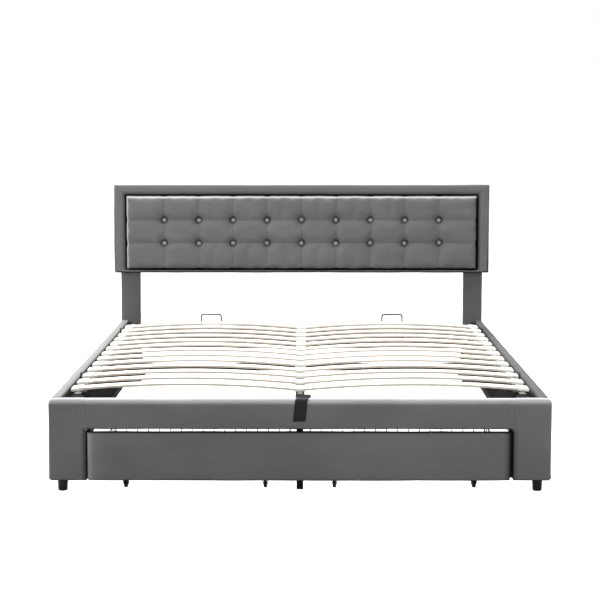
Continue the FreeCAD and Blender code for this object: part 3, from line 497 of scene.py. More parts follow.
def bar(name, axis, low, high, radii, ends=(0.002, 0.002), step=0.012, along=0.015, swell=0.0):
    """A padded bar: a rounded rectangle carried along an axis, with rounded ends.

    ends are the rounding radii at the low and the high end. swell crowns the flat sides.
    """
    u, v, w = ORDER[axis]
    points, normals = ring_of((low[u], low[v]), (high[u], high[v]), radii, step)
    count = len(points)
    quarter = [math.radians(90 * k / 5) for k in range(6)]
    first, last = (
        [(end + sign * radius * (1 - math.cos(t)), radius * (1 - math.sin(t))) for t in quarter]
        for end, radius, sign in ((low[w], ends[0], 1), (high[w], ends[1], -1))
    )
    middle = spread(low[w] + ends[0], high[w] - ends[1], along)[1:-1]
    rows = first + [(at, 0.0) for at in middle] + last[::-1]
    half = [(high[k] - low[k]) / 2 for k in (u, v)]
    centre = [(high[k] + low[k]) / 2 for k in (u, v)]
    longer = 0 if half[0] > half[1] else 1
    spine = abs(half[0] - half[1])
    vertices = []

    def inset_point(index, inset):
        return [points[index][k] - normals[index][k] * inset for k in (0, 1)]

    def close(row, amounts):
        """Rows of an end's face, each drawn in towards the middle line."""
        at, inset = row
        for amount in amounts:
            for index in range(count):
                point, target = inset_point(index, inset), list(centre)
                target[longer] += min(max(point[longer] - centre[longer], -spine), spine)
                drawn_in = (point[k] + (target[k] - point[k]) * amount for k in (0, 1))
                vertices.append(turned(axis, *drawn_in, at))

    closing = (1.0, 0.66, 0.33)
    close(rows[0], closing)
    for at, inset in rows:
        crown = swell * math.sin(math.pi * min(max((at - low[w]) / (high[w] - low[w]), 0), 1)) ** 0.4
        for index, (point, normal) in enumerate(zip(points, normals)):
            flat = [1 - min(abs(point[k] - centre[k]) / half[k], 1) ** 2 for k in (0, 1)]
            puff = crown * (abs(normal[0]) ** 8 * flat[1] + abs(normal[1]) ** 8 * flat[0])
            vertices.append(turned(axis, *inset_point(index, inset - puff), at))
    close(rows[-1], closing[::-1])
    return add_mesh(name, vertices, skin(len(vertices) // count, count))


def block(name, axis, low, high, edge, tip):
    """A plain bar with the same rounding on all its edges and another at its ends."""
    return bar(name, axis, Vector(low), Vector(high), (edge,) * 4, (tip, tip), 0.02, 0.02)


def ripple(piece, amount, size, fine):
    """Moves each point along its normal by a smooth noise, as cloth over foam lies."""
    mesh = piece.data
    normals = [v.normal.copy() for v in mesh.vertices]
    for vertex, normal in zip(mesh.vertices, normals):
        broad = noise.noise(vertex.co / size)
        small = noise.noise(vertex.co / (size * 0.28) + Vector((3, 7, 1)))
        vertex.co += normal * (amount * broad + fine * small)
    mesh.update()


def lathe(name, profile, axis, centre, segments):
    """A turned piece. The profile is (radius, place along the axis); closed where the radius is 0."""
    u, v, w = ORDER[axis]
    angles = [2 * math.pi * k / segments for k in range(segments)]
    vertices = [
        turned(axis, centre[u] + radius * math.cos(t), centre[v] + radius * math.sin(t), centre[w] + at)
        for radius, at in profile
        for t in angles
    ]
    return add_mesh(name, vertices, skin(len(profile), segments))


def wire(name, runs, radius, resolution, bend=0.0):
    """Round wires in one curve object: a list of runs, each a list of points."""
    curve = bpy.data.curves.new(name, "CURVE")
    curve.dimensions = "3D"
    curve.bevel_depth = radius
    curve.bevel_resolution = resolution
    curve.use_fill_caps = True
    for run in runs:
        points = soften(run, bend) if bend else run
        spline = curve.splines.new("POLY")
        spline.points.add(len(points) - 1)
        for point, target in zip(spline.points, points):
            point.co = (*target, 1)
    made = bpy.data.objects.new(name, curve)
    bpy.context.collection.objects.link(made)
    return made


def soften(run, bend):
    """Replaces each corner of a run by an arc."""
    points = [Vector(run[0])]
    for before, corner, after in zip(run, run[1:], run[2:]):
        corner = Vector(corner)
        inward = (Vector(before) - corner).normalized()
        outward = (Vector(after) - corner).normalized()
        half = inward.angle(outward) / 2
        reach = bend / math.tan(half)
        centre = corner + (inward + outward).normalized() * (bend / math.sin(half))
        start, end = corner + inward * reach - centre, corner + outward * reach - centre
        for k in range(7):
            points.append(centre + start.slerp(end, k / 6).normalized() * bend)
    points.append(Vector(run[-1]))
    return points


# ---- upholstery ----


def bell(gap, width):
    """1 at a gap of 0, less and less over the width to both sides."""
    return math.exp(-((gap / width) ** 2))


def fade(gap, width, amount=1.0):
    """The full amount up to a gap of 0, less and less over the width."""
    return amount * bell(max(gap, 0), width)


def rail_painted_shade(sign):
    """Painted shade on a side rail, darker towards its inner edge."""

    def painted_light(point, low, high):
        gap = high.x - point.x if sign < 0 else point.x - low.x
        return fade(gap, 7 * MM, 0.65)

    return painted_light


def foot_painted_light(point, low, high):
    """Painted highlight along the top edge, painted shade along the underside."""
    return fade(point.z - low.z, 3 * MM, 0.9) - fade(high.z - 8 * MM - point.z, 5 * MM, 0.45)


def post_painted_light(sign):
    """As the foot board, with painted shade on the jambs beside the drawer's opening, wider on the left post,
    whose jamb is turned away from the light.
    """

    def painted_light(point, low, high):
        opening_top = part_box("foot_cover_center")[0].z
        inner = high.x - point.x if sign < 0 else point.x - low.x
        beside = 1.0 if point.z < opening_top + 2 * MM else 0.0
        jamb = fade(inner, 8 * MM, 0.95) if sign < 0 else fade(inner, 2.5 * MM, 0.9)
        return min(1.0, foot_painted_light(point, low, high) + beside * jamb)

    return painted_light


def drawer_painted_light(point, low, high):
    """Painted highlight on the edge that faces the light, painted shade on the far one, along the top and
    bottom, and over the faces behind the front.
    """
    dark = fade(high.x - point.x, 9 * MM, 0.85) + fade(high.z - point.z, 2.6 * MM, 0.9)
    dark += fade(point.z - low.z, 3 * MM, 0.8)
    light = fade(point.x - low.x, 9 * MM, 0.35) + fade(point.x - low.x, 40 * MM, 0.12)
    behind = 1.0 if point.y > low.y + 9 * MM else 0.0
    return min(1.0, max(dark, behind)) - light * (1 - behind)


def upholster(
    name, axis, node, radii, ends, painted_light=None, finish=None, swell=1.5 * MM, shift=0.0, body="base", fill=0.8
):
    """A padded velvet cover in the place of a CAD cover. painted_light gives the painted light and shade at a
    point.
    """
    low, high = (Vector(corner) + Vector((shift, 0, 0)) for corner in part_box(node))
    piece = bar(name, axis, low, high, radii, ends, swell=swell)
    if painted_light:
        lay_painted_light(piece, [painted_light(vertex.co, low, high) for vertex in piece.data.vertices])
    ripple(piece, 1.1 * MM, 0.16, 0.3 * MM)
    place(piece, body, "velvet", node, finish=finish)
    return piece


def make_rails_and_foot_board():
    soft, small, tiny = 11 * MM, 5 * MM, 2 * MM
    top_edges = (small, small, soft, 1.6 * soft)
    for side, sign in SIDES.items():
        name, node, radii = f"rail_cover_{side}", f"side_rail_cover_{side}", (small, small, soft, soft)
        # Each rail takes its own lit or shaded copy of the velvet: painted light and shade.
        rail = upholster(name, "Y", node, radii, (tiny, tiny), rail_painted_shade(sign), f"velvet_rail_{side}")
        low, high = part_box(node)
        for vertex in rail.data.vertices:
            # The inner face stays flat behind the lining.
            vertex.co.x = min(vertex.co.x, high.x) if sign < 0 else max(vertex.co.x, low.x)
        tips = (soft, tiny) if sign < 0 else (tiny, soft)
        upholster(f"post_cover_{side}", "X", f"foot_cover_{side}", top_edges, tips, post_painted_light(sign))
    upholster("cross_rail_cover", "X", "foot_cover_center", top_edges, (tiny, tiny), foot_painted_light)


def make_drawer_front():
    """The drawer's cover and its board, a little off the middle."""
    edge, under, shift = 6 * MM, 5 * MM, -3.5 * MM
    options = {"swell": 2 * MM, "shift": shift, "body": "drawer", "fill": 0.75}
    radii = (edge, under, under, 7 * MM)
    upholster("drawer_cover", "X", "drawer_front_cover", radii, (edge, edge), drawer_painted_light, **options)
    low, high = (Vector(corner) + Vector((shift, 0, 0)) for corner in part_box("drawer_front_board"))
    low.x, high.x = low.x + under, high.x - under
    board = bar("drawer_board", "X", low, high, (1 * MM,) * 4, (1 * MM, 1 * MM), 0.02, 0.1)
    place(board, "drawer", "board", "drawer_front_board")


def make_gap_shade_strips():
    """Black strips behind the ends of the drawer front, on the corner posts' inner sides, put there as
    painted shade so that the gaps beside the drawer read dark.
    """
    drawer_low, drawer_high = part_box("drawer_front_cover")
    for side, sign in SIDES.items():
        low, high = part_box(f"foot_cover_{side}")
        face = high.x if sign < 0 else low.x
        near, far = sorted((face - sign * 12 * MM, face + sign * 1 * MM))
        bottom = (near, drawer_high.y + 3 * MM, drawer_low.z + 4 * MM)
        top = (far, high.y - 3 * MM, drawer_high.z + 4 * MM)
        strip = block("strip", "Z", bottom, top, 1.5 * MM, 1 * MM)
        place(strip, "base", "black_plastic")
        strip.name = f"drawer_gap_shade_strip_{side}"


def make_headboard_legs():
    for side in SIDES:
        name, node = f"headboard_leg_cover_{side}", f"headboard_leg_{side}"
        upholster(name, "Z", node, (4 * MM,) * 4, (3 * MM, 5 * MM), swell=0.8 * MM)


def make_headboard_border():
    """A padded frame round the tufted pad, mitred at the corners and closed over the back."""
    low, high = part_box("headboard_border")
    pad_low, pad_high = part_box("headboard_pad")
    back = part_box("headboard_board")[1].y + 1.2 * MM
    gap, rim = 5.5 * MM, 7 * MM
    inner_low, inner_high = (pad_low.x - gap, pad_low.z - gap), (pad_high.x + gap, pad_high.z + gap)
    ring, _ = ring_of(inner_low, inner_high, (10 * MM,) * 4, 0.016)
    count = len(ring)
    corners = [(x, z) for x in (inner_low[0], inner_high[0]) for z in (inner_low[1], inner_high[1])]
    mitres = {min(range(count), key=lambda k: math.dist(ring[k], corner)) for corner in corners}
    shares = [[(p[k] - inner_low[k]) / (inner_high[k] - inner_low[k]) for k in (0, 1)] for p in ring]
    outer = [(low.x + (high.x - low.x) * u, low.z + (high.z - low.z) * v) for u, v in shares]
    # Across the border: how far out, and how far behind the face in millimetres, loop by loop.
    section = [(-0.5, 37), (0.0, 37), (0.0, 18), (0.02, 11), (0.07, 5.5), (0.15, 2), (0.24, 0.4)]
    section += [(share, -1.2 * math.sin(math.pi * share)) for share in (0.3, 0.45, 0.6, 0.75)]
    vertices, painted_light_values = [], []
    for share, drop in section:
        for index, (point, target) in enumerate(zip(ring, outer)):
            x, z = (point[k] + (target[k] - point[k]) * share for k in (0, 1))
            crease = 1.4 if index in mitres and share > 0.1 else 0.0
            vertices.append((x, low.y + (drop + crease) * MM, z))
        # Painted shade deep in the gap round the pad, fading out over the border's inner edge.
        painted_light_values += [1.0 if drop > 15 else max(0.0, 0.75 - share * 2.6)] * count
    for turn in range(7):
        angle = math.radians(90 * turn / 6)
        for target in outer:
            x = min(max(target[0], low.x + rim), high.x - rim)
            z = min(max(target[1], low.z + rim), high.z - rim)
            away = Vector((target[0] - x, target[1] - z))
            if away.length > 1e-9:
                away = away.normalized() * rim * math.sin(angle)
            vertices.append((x + away.x, low.y + rim * (1 - math.cos(angle)), z + away.y))
    edge = vertices[-count:]
    for y in spread(low.y + rim, back - 4 * MM, 0.012)[1:]:
        vertices += [(x, y, z) for x, _, z in edge]
    middle = (low.z + high.z) / 2
    for inset, y in ((2 * MM, back - 1 * MM), (6 * MM, back), (60 * MM, back), (150 * MM, back)):
        for x, _, z in edge:
            x = math.copysign(max(abs(x) - inset, 0), x)
            z = middle + math.copysign(max(abs(z - middle) - inset, 0), z - middle)
            vertices.append((x, y, z))
    faces = skin(len(vertices) // count, count)
    faces.append(tuple(range(len(vertices) - count, len(vertices))))
    piece = add_mesh("headboard_border_cover", vertices, faces)
    painted_light_values += [0.0] * (len(vertices) - len(painted_light_values))
    # Painted shade along the bottom and the left edge, and a painted highlight along the top.
    for index, (x, _, z) in enumerate(vertices):
        painted_light_values[index] += fade(z - low.z - 4 * MM, 2.5 * MM) + fade(x - low.x - 2 * MM, 2 * MM, 0.9)
        painted_light_values[index] -= fade(high.z - z, 5 * MM, 0.3)
    lay_painted_light(piece, painted_light_values)
    ripple(piece, 1.0 * MM, 0.14, 0.3 * MM)
    place(piece, "base", "velvet", "headboard_border")


SEAM_COLUMNS = [column * 152 * MM for column in range(-4, 5)]


def button_rows():
    low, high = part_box("headboard_buttons")
    radius = 11 * MM
    return [low.z + radius, high.z - radius]


def pad_sheet(x_values, z_values, low, high, roll):
    """The pad's face before it is stuffed: a sheet that turns back at the edges, pulled in at the buttons."""
    rows = button_rows()
    points = []
    for z in z_values:
        for x in x_values:
            gap = min(x - low.x, high.x - x, z - low.z, high.z - z)
            back = roll - math.sqrt(max(roll**2 - (roll - min(gap, roll)) ** 2, 0))
            near = min(math.hypot(x - column, z - row) for column in SEAM_COLUMNS for row in rows)
            pull = 0.75 * math.exp(-near / (17 * MM)) + 0.6 * math.exp(-((near / (12 * MM)) ** 2))
            points.append(Vector((x, low.y - 2 * MM + back + 17 * MM * pull, z)))
    return points


def stuffed(points, columns, pinned):
    """Blows a sheet of cloth up against its pins and gives how far each point moves."""
    mesh = bpy.data.meshes.new("stuffing")
    mesh.from_pydata([tuple(p) for p in points], [], sheet_faces(columns, len(points) // columns))
    sheet = bpy.data.objects.new("stuffing", mesh)
    bpy.context.collection.objects.link(sheet)
    pins = sheet.vertex_groups.new(name="pins")
    for index, weight in pinned.items():
        pins.add([index], weight, "REPLACE")
    cloth = sheet.modifiers.new("cloth", "CLOTH")
    settings = cloth.settings
    settings.quality = 6
    settings.mass = 0.25
    settings.tension_stiffness = settings.compression_stiffness = 18
    settings.shear_stiffness = 6
    settings.bending_stiffness = 0.6
    settings.vertex_group_mass = "pins"
    settings.pin_stiffness = 1
    settings.use_pressure = True
    settings.uniform_pressure_force = 3.2
    settings.shrink_min = -0.02
    settings.effector_weights.gravity = 0
    settings.air_damping = 4
    last, most = 16, 4.5 * MM
    cloth.point_cache.frame_start, cloth.point_cache.frame_end = 1, last
    scene = bpy.context.scene
    for step in range(1, last + 1):
        scene.frame_set(step)
    shown = sheet.evaluated_get(bpy.context.evaluated_depsgraph_get()).to_mesh()
    moves = [vertex.co - start for vertex, start in zip(shown.vertices, points)]
    scene.frame_set(1)
    bpy.data.objects.remove(sheet)
    return [move * min(1, most / max(move.length, 1e-9)) for move in moves]


def fine_values(low, high, seams, step=11 * MM):
    """Grid lines: close together at each seam and at the edges, and about step apart elsewhere."""
    near = (0, 1.0 * MM, 2.2 * MM, 4 * MM, 7 * MM)
    values = {low, high}
    for seam in seams:
        values.update(seam + sign * gap for gap in near for sign in (-1, 1))
    values.update(edge + sign * k * 2.5 * MM for edge, sign in ((low, 1), (high, -1)) for k in range(1, 7))
    ordered = sorted(values)
    for before, after in zip(ordered[:-1], ordered[1:]):
        if after - before > step * 1.4:
            values.update(spread(before, after, step)[1:-1])
    return sorted(values)


def pad_pins(points, low, high):
    """How firmly each point of the pad is held: fully at its edges and buttons, less along the seams."""
    rows = button_rows()
    pinned = {}
    for index, (x, _, z) in enumerate(points):
        edge = min(x - low.x, high.x - x, z - low.z, high.z - z)
        to_column, to_row = min(abs(x - c) for c in SEAM_COLUMNS), min(abs(z - r) for r in rows)
        if edge < 1e-6 or math.hypot(to_column, to_row) < 7 * MM:
            pinned[index] = 1.0
        elif min(to_column, to_row) < 5 * MM:
            pinned[index] = 0.45
    return pinned


def pad_painted_light(x, z, low, high, column, row, groove):
    """Painted shade, darkest round the button and further on the side away from the light, where it dips, and
    in the seams; painted highlights along the top and left edges, painted shade along the bottom and right
    edges.
    """
    away = math.hypot(x - column + 5 * MM, z - row - 3 * MM)
    ring = fade(math.hypot(x - column, z - row) - 9 * MM, 5 * MM, 1.1) + fade(away, 24 * MM, 0.4)
    edge_top, edge_left = high.z - z - 2 * MM, x - low.x - 2 * MM
    lit = max(fade(edge_top, 6 * MM, 1.5), fade(edge_left, 4 * MM))
    shaded = max(fade(z - low.z, 5 * MM, 0.9), fade(high.x - x, 5 * MM, 0.9))
    turned_back = 1.0 if min(edge_top, edge_left) < -1.2 * MM else -1.0
    return max(turned_back, min(1.0, ring + 0.14 * groove + shaded) - lit)


def towards_middle(value, low, high):
    """Which way the middle lies for a place at the pad's outline, and 0 further in."""
    margin = 12 * MM
    return (value < low + margin) - (value > high - margin)


def make_headboard_pad():
    """The tufted pad: cloth stuffed by simulation between its edges and its buttons, then sewn."""
    low, high = (Vector(corner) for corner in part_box("headboard_pad"))
    roll, coarse = 15 * MM, 8.5 * MM
    xs, zs = spread(low.x, high.x, coarse), spread(low.z, high.z, coarse)
    start = pad_sheet(xs, zs, low, high, roll)
    moved = stuffed(start, len(xs), pad_pins(start, low, high))

    def sampled(x, z):
        u = min(max((x - low.x) / (high.x - low.x) * (len(xs) - 1), 0), len(xs) - 1.001)
        v = min(max((z - low.z) / (high.z - low.z) * (len(zs) - 1), 0), len(zs) - 1.001)
        corner = int(v) * len(xs) + int(u)
        first, second = (moved[k].lerp(moved[k + 1], u - int(u)) for k in (corner, corner + len(xs)))
        return first.lerp(second, v - int(v))

    rows = button_rows()
    fine_x = fine_values(low.x, high.x, SEAM_COLUMNS)
    fine_z = fine_values(low.z, high.z, rows)
    vertices, painted_light_values = [], []
    for point in pad_sheet(fine_x, fine_z, low, high, roll):
        x, z = fine_x[len(vertices) % len(fine_x)], fine_z[len(vertices) // len(fine_x)]
        point += sampled(x, z)
        column = min(SEAM_COLUMNS, key=lambda c: abs(x - c))
        row = min(rows, key=lambda r: abs(z - r))
        wander = 1.2 * MM * noise.noise(Vector((x * 9, z * 9, 4)))
        groove = max(bell(x - column + wander, 1.8 * MM), 0.8 * bell(z - row + wander, 1.8 * MM))
        channel = bell(x - column, 13 * MM) + bell(z - row, 13 * MM)
        point.y += 1.1 * MM * groove + 0.8 * MM * channel
        # Painted light and shade at this point of the pad.
        painted_light_values.append(pad_painted_light(x, z, low, high, column, row, groove))
        # The outline is pulled in where a seam runs over the edge.
        point.z += 2.4 * MM * bell(x - column, 14 * MM) * towards_middle(z, low.z, high.z)
        point.x += 2.4 * MM * bell(z - row, 14 * MM) * towards_middle(x, low.x, high.x)
        point.y += 0.5 * MM * noise.noise(Vector((x / 0.05, 0, z / 0.05)))
        vertices.append(point)
    wide, tall = len(fine_x), len(fine_z)
    faces = sheet_faces(wide, tall)
    outline = list(range(wide)) + [j * wide + wide - 1 for j in range(1, tall)]
    outline += [(tall - 1) * wide + i for i in range(wide - 2, -1, -1)]
    outline += [j * wide for j in range(tall - 2, 0, -1)]
    before = outline
    for y in (low.y + 20 * MM, high.y - 4 * MM):
        after = range(len(vertices), len(vertices) + len(outline))
        vertices += [Vector((vertices[k].x, y, vertices[k].z)) for k in outline]
        faces += band(before, after)
        before = after
    # The pad's turned-back sides are painted in full shade.
    painted_light_values += [1.0] * (len(vertices) - len(painted_light_values))
    faces.append(tuple(before))
    piece = add_mesh("headboard_pad_cover", vertices, faces)
    lay_painted_light(piece, painted_light_values)
    place(piece, "base", "velvet", "headboard_pad")


# A covered button from its crown to its back: shares of the radius, and millimetres into the pad.
BUTTON = [(0.0, -2.0), (0.3, -1.9), (0.6, -1.2), (0.85, 0.2), (0.97, 2.0), (1.0, 3.6), (0.9, 5.4), (0.6, 6.4)]


def make_buttons():
    """Covered buttons, drawn into the pad and never quite level."""
    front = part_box("headboard_buttons")[0].y + 14 * MM
    profile = [(share * 9.5 * MM, depth * MM) for share, depth in BUTTON]
    parts = []
    for row in button_rows():
        for column in SEAM_COLUMNS:
            x, z = (at + random.uniform(-2, 2) * MM for at in (column, row))
            parts.append(lathe("button", profile, "Y", (x, front, z), 20))
    # The buttons take a lighter copy of the velvet, as a painted highlight.
    place(joined("covered_buttons", parts), "base", "velvet_button", "headboard_buttons")


# ---- slats and sockets ----


def slat_rows():
    """The middle of each row of slats along the bed, and the width of a slat."""
    low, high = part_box("slats_right")
    width = 53 * MM
    pitch = (high.y - low.y - width) / 12
    return [low.y + width / 2 + pitch * row for row in range(13)], width


def make_slats():
    """Bent slats with eased edges. The UV map runs along the slat and through its plies."""
    thick, ease = 8 * MM, 1.4 * MM
    rows, width = slat_rows()
    ring, _ = ring_of((-width / 2, 0), (width / 2, thick), (ease,) * 4, 0.012)
    count = len(ring)
    for side, sign in SIDES.items():
        low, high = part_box(f"slats_{side}")
        near, far = sorted((abs(low.x), abs(high.x)))
        stations = spread(near, far, 0.02)
        vertices, faces, plies = [], [], []
        for row in rows:
            first = len(vertices)
            rise = high.z - low.z - thick + random.uniform(-1.2, 0.4) * MM
            for at in stations:
                share = (at - near) / (far - near) * 2 - 1
                bottom = low.z + rise * (1 - share**2)
                vertices += [(sign * at, row + across, bottom + up) for across, up in ring]
                plies += [(at, up / thick) for _, up in ring]
            faces += skin(len(stations), count, first)
            faces += [tuple(range(end, end + count)) for end in (first, len(vertices) - count)]
        piece = add_mesh(f"birch_slats_{side}", vertices, faces)
        lay_map(piece, "plies", plies)
        place(piece, "lift_frame", "birch", f"slats_{side}")
        bevel(piece, 0.6 * MM)


def sheared(piece, slope, start):
    """Lifts a piece's points with their distance from x = start, to follow a slat's slope."""
    for vertex in piece.data.vertices:
        vertex.co.z += slope * abs(vertex.co.x - start)
    return piece


def socket(near, far, y, tube_top, seat, ends, start):
    """A moulded socket: a sleeve round the slat, on a narrow stem with a flange on the tube."""
    half, slope = 29 * MM, 0.10
    low, high = (near, y - half, seat - 2.4 * MM), (far, y + half, seat + 10.6 * MM)
    parts = [sheared(bar("sleeve", "X", low, high, (4.5 * MM,) * 4, ends, 0.01, 0.008), slope, start)]
    for mouth, inside in ((near, 1), (far, -1)):
        if abs(mouth - start) < 5 * MM:
            continue
        left, right = sorted((mouth, mouth + inside * 3 * MM))
        low = (left, y - half - 0.9 * MM, seat - 3.3 * MM)
        high = (right, y + half + 0.9 * MM, seat + 11.4 * MM)
        lip = bar("lip", "X", low, high, (5 * MM,) * 4, (1.2 * MM, 1.2 * MM), 0.012, 0.01)
        parts.append(sheared(lip, slope, start))
    plates = (("stem", 13 * MM, 10 * MM, seat), ("flange", 8 * MM, 17 * MM, tube_top + 1.4 * MM))
    for name, inset, reach, top in plates:
        low, high = (near + inset, y - reach, tube_top), (far - inset, y + reach, top)
        parts.append(block(name, "X", low, high, 1 * MM, 1 * MM))
    return parts


def make_sockets():
    rows, _ = slat_rows()
    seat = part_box("slats_right")[0].z
    low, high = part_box("slat_holders_outer")
    deep = 38 * MM
    parts = []
    for sign in SIDES.values():
        near, far = sorted((sign * (high.x - deep), sign * high.x))
        ends = (4 * MM, 1 * MM) if sign < 0 else (1 * MM, 4 * MM)
        for row in rows:
            parts += socket(near, far, row, low.z, seat, ends, sign * high.x)
    place(joined("outer_sockets", parts), "lift_frame", "ivory_plastic", "slat_holders_outer")
    low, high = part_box("slat_holders_center")
    near, far, ends = low.x + 2 * MM, high.x - 2 * MM, (1 * MM, 1 * MM)
    parts = [part for row in rows for part in socket(near, far, row, low.z, seat, ends, 0.0)]
    place(joined("center_sockets", parts), "lift_frame", "ivory_plastic", "slat_holders_center")


# ---- steel frame ----


def steel_tube(name, axis, low, high, round_by):
    """A rectangular tube with drawn corners, open inside at both ends."""
    u, v, w = ORDER[axis]
    wall = 1.5 * MM
    rings = []
    for inset in (0, wall):
        corners = (low[u] + inset, low[v] + inset), (high[u] - inset, high[v] - inset)
        rings.append(ring_of(*corners, (round_by - inset,) * 4, 1)[0])
    outside, inside = rings
    count = len(outside)
    loops = ((inside, low[w]), (outside, low[w]), (outside, high[w]), (inside, high[w]))
    vertices = [turned(axis, *point, at) for ring, at in loops for point in ring]
    closing = band(range(3 * count, 4 * count), range(count))
    return add_mesh(name, vertices, skin(4, count) + closing)


def islands(node):
    """The boxes of a CAD node's separate solids, lowest corner and highest corner each."""
    mesh = frame["nodes"][node].data
    parent = list(range(len(mesh.vertices)))

    def root(index):
        while parent[index] != index:
            parent[index] = parent[parent[index]]
            index = parent[index]
        return index

    by_place = {}
    for vertex in mesh.vertices:
        key = tuple(round(c, 6) for c in vertex.co)
        if key in by_place:
            parent[root(vertex.index)] = root(by_place[key])
        by_place[key] = vertex.index
    for edge in mesh.edges:
        parent[root(edge.vertices[0])] = root(edge.vertices[1])
    boxes = {}
    for vertex in mesh.vertices:
        corner = boxes.setdefault(root(vertex.index), [vertex.co.copy(), vertex.co.copy()])
        for k in range(3):
            corner[0][k] = min(corner[0][k], vertex.co[k])
            corner[1][k] = max(corner[1][k], vertex.co[k])
    return sorted(boxes.values(), key=lambda pair: tuple(pair[0]))


def weld(low, high):
    """A bead of weld along one edge between two corners."""
    steps = spread(0, 1, 0.004 / (high - low).length)
    run = [low.lerp(high, share) for share in steps]
    return [p + Vector((noise.noise(p * 300), 0, noise.noise(p * 310))) * 0.5 * MM for p in run]


def make_tube(node, axis, body, round_by=3 * MM):
    """A node's tubes: one for each of its solids."""
    parts = [steel_tube(node, axis, low, high, round_by) for low, high in islands(node)]
    place(joined(f"{node}_steel", parts), body, "black_steel", node)


def make_tubes():
    """The lift frame's tubes with their welds, the cross tube behind it and the middle leg."""
    for name in ("side_tube_left", "side_tube_right", "center_tube"):
        make_tube(f"lift_{name}", "Y", "lift_frame")
    beads = []
    for name in ("crossbar_foot", "crossbar_head", "crossbars_middle"):
        make_tube(f"lift_{name}", "X", "lift_frame")
        for low, high in islands(f"lift_{name}"):
            for x in (low.x, high.x):
                beads.append(weld(Vector((x, low.y + 3 * MM, high.z)), Vector((x, high.y - 3 * MM, high.z))))
    place(wire("weld_beads", beads, 1.3 * MM, 1), "lift_frame", "black_steel")
    make_tube("head_cross_tube", "X", "base")
    make_tube("center_leg", "Z", "base", 2.5 * MM)


def make_tube_plugs():
    plugs = []
    inset, out = 1.7 * MM, 1.2 * MM
    for side in SIDES:
        low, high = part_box(f"lift_side_tube_{side}")
        for end in (low.y, high.y):
            corners = (low.x + inset, end - out, low.z + inset), (high.x - inset, end + out, high.z - inset)
            plugs.append(block("plug", "Y", *corners, 1.2 * MM, 0.8 * MM))
    place(joined("tube_plugs", plugs), "lift_frame", "black_plastic")


def make_stops():
    """Bent wire hoops on welded feet, and rounded tabs beside the mattress."""
    runs, feet = [], []
    radius = 3.6 * MM
    profile = [(0, 0), (6 * MM, 0), (6 * MM, 1.5 * MM), (4 * MM, 3.2 * MM), (3 * MM, 4 * MM)]
    for low, high in islands("mattress_stops"):
        left, right, crown = low.x + radius, high.x - radius, high.z - radius
        y = (low.y + high.y) / 2
        runs.append([(left, y, low.z), (left, y, crown), (right, y, crown), (right, y, low.z)])
        feet += [lathe("foot", profile, "Z", (x, y, low.z), 16) for x in (left, right)]
    hoops = wire("mattress_hoops", runs, radius, 3, 11 * MM)
    place(hoops, "lift_frame", "black_steel", "mattress_stops", finish="black_wire")
    place(joined("hoop_feet", feet), "lift_frame", "black_steel")
    radii, ends = (2 * MM, 2 * MM, 9 * MM, 9 * MM), (0.8 * MM, 0.8 * MM)
    tabs = [bar("tab", "X", low, high, radii, ends, 0.02, 0.02) for low, high in islands("side_stops")]
    place(joined("mattress_tabs", tabs), "lift_frame", "black_steel", "side_stops")


# ---- drawer ----


def make_baskets():
    """Welded wire baskets: a mesh of round wires in a thicker rim, with a floor and four walls."""
    thin, thick = 1.6 * MM, 2.3 * MM
    for side in SIDES:
        low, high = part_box(f"basket_{side}")
        x0, x1, y0, y1 = low.x + thick, high.x - thick, low.y + thick, high.y - thick
        z0, z1 = low.z + thin, high.z - thick
        lifted = z0 + 2 * thin
        columns = spread(x0, x1, (x1 - x0) / 16)
        rows = spread(y0, y1, (y1 - y0) / 6)
        loops = [
            [(x0, y0, z), (x1, y0, z), (x1, y1, z), (x0, y1, z), (x0, y0, z)]
            for z in spread(z0, z1, (z1 - z0) / 3)
        ]
        fine = [[(x, y0, z1), (x, y0, z0), (x, y1, z0), (x, y1, z1)] for x in columns[1:-1]]
        fine += [[(x0, y, z1), (x0, y, lifted), (x1, y, lifted), (x1, y, z1)] for y in rows[1:-1]]
        rim = [loops[-1], loops[0]] + [[(x, y, z0), (x, y, z1)] for x in (x0, x1) for y in (y0, y1)]
        wires = wire(f"basket_wires_{side}", fine + loops[:-1], thin, 1)
        place(wires, "drawer", "black_steel", f"basket_{side}")
        place(wire(f"basket_rim_{side}", rim, thick, 2), "drawer", "black_steel")


def make_wheels():
    places = [(end, where) for end in ("front", "back") for where in ("inner", "outer")]
    for key in (f"{side}_{end}_{where}" for side in SIDES for end, where in places):
        node = f"castor_wheel_{key}"
        low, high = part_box(node)
        radius, face = (high.z - low.z) / 2, (low.x - high.x) / 2
        recess, edge = face + 1.6 * MM, face + 0.2 * MM
        # From the hub over the recessed web and the rim to the tread: (radius, place along the axle).
        half = [(2.1 * MM, face), (0.3 * radius, face), (0.34 * radius, recess), (0.78 * radius, recess)]
        half += [(0.84 * radius, edge), (radius - 1.6 * MM, edge), (radius - 0.3 * MM, recess)]
        half += [(radius, face + 2.8 * MM)]
        profile = half + [(reach, -at) for reach, at in half[::-1]] + half[:1]
        place(lathe(f"wheel_{key}", profile, "X", (low + high) / 2, 36), node, "black_plastic", node)


# Half a castor's cheek: out from its middle line, its height and how far it splays, in millimetres.
CHEEK = [(9, 43.2, 3), (7.5, 26, 1), (5.5, 12.5, 0), (3, 9, 0)]


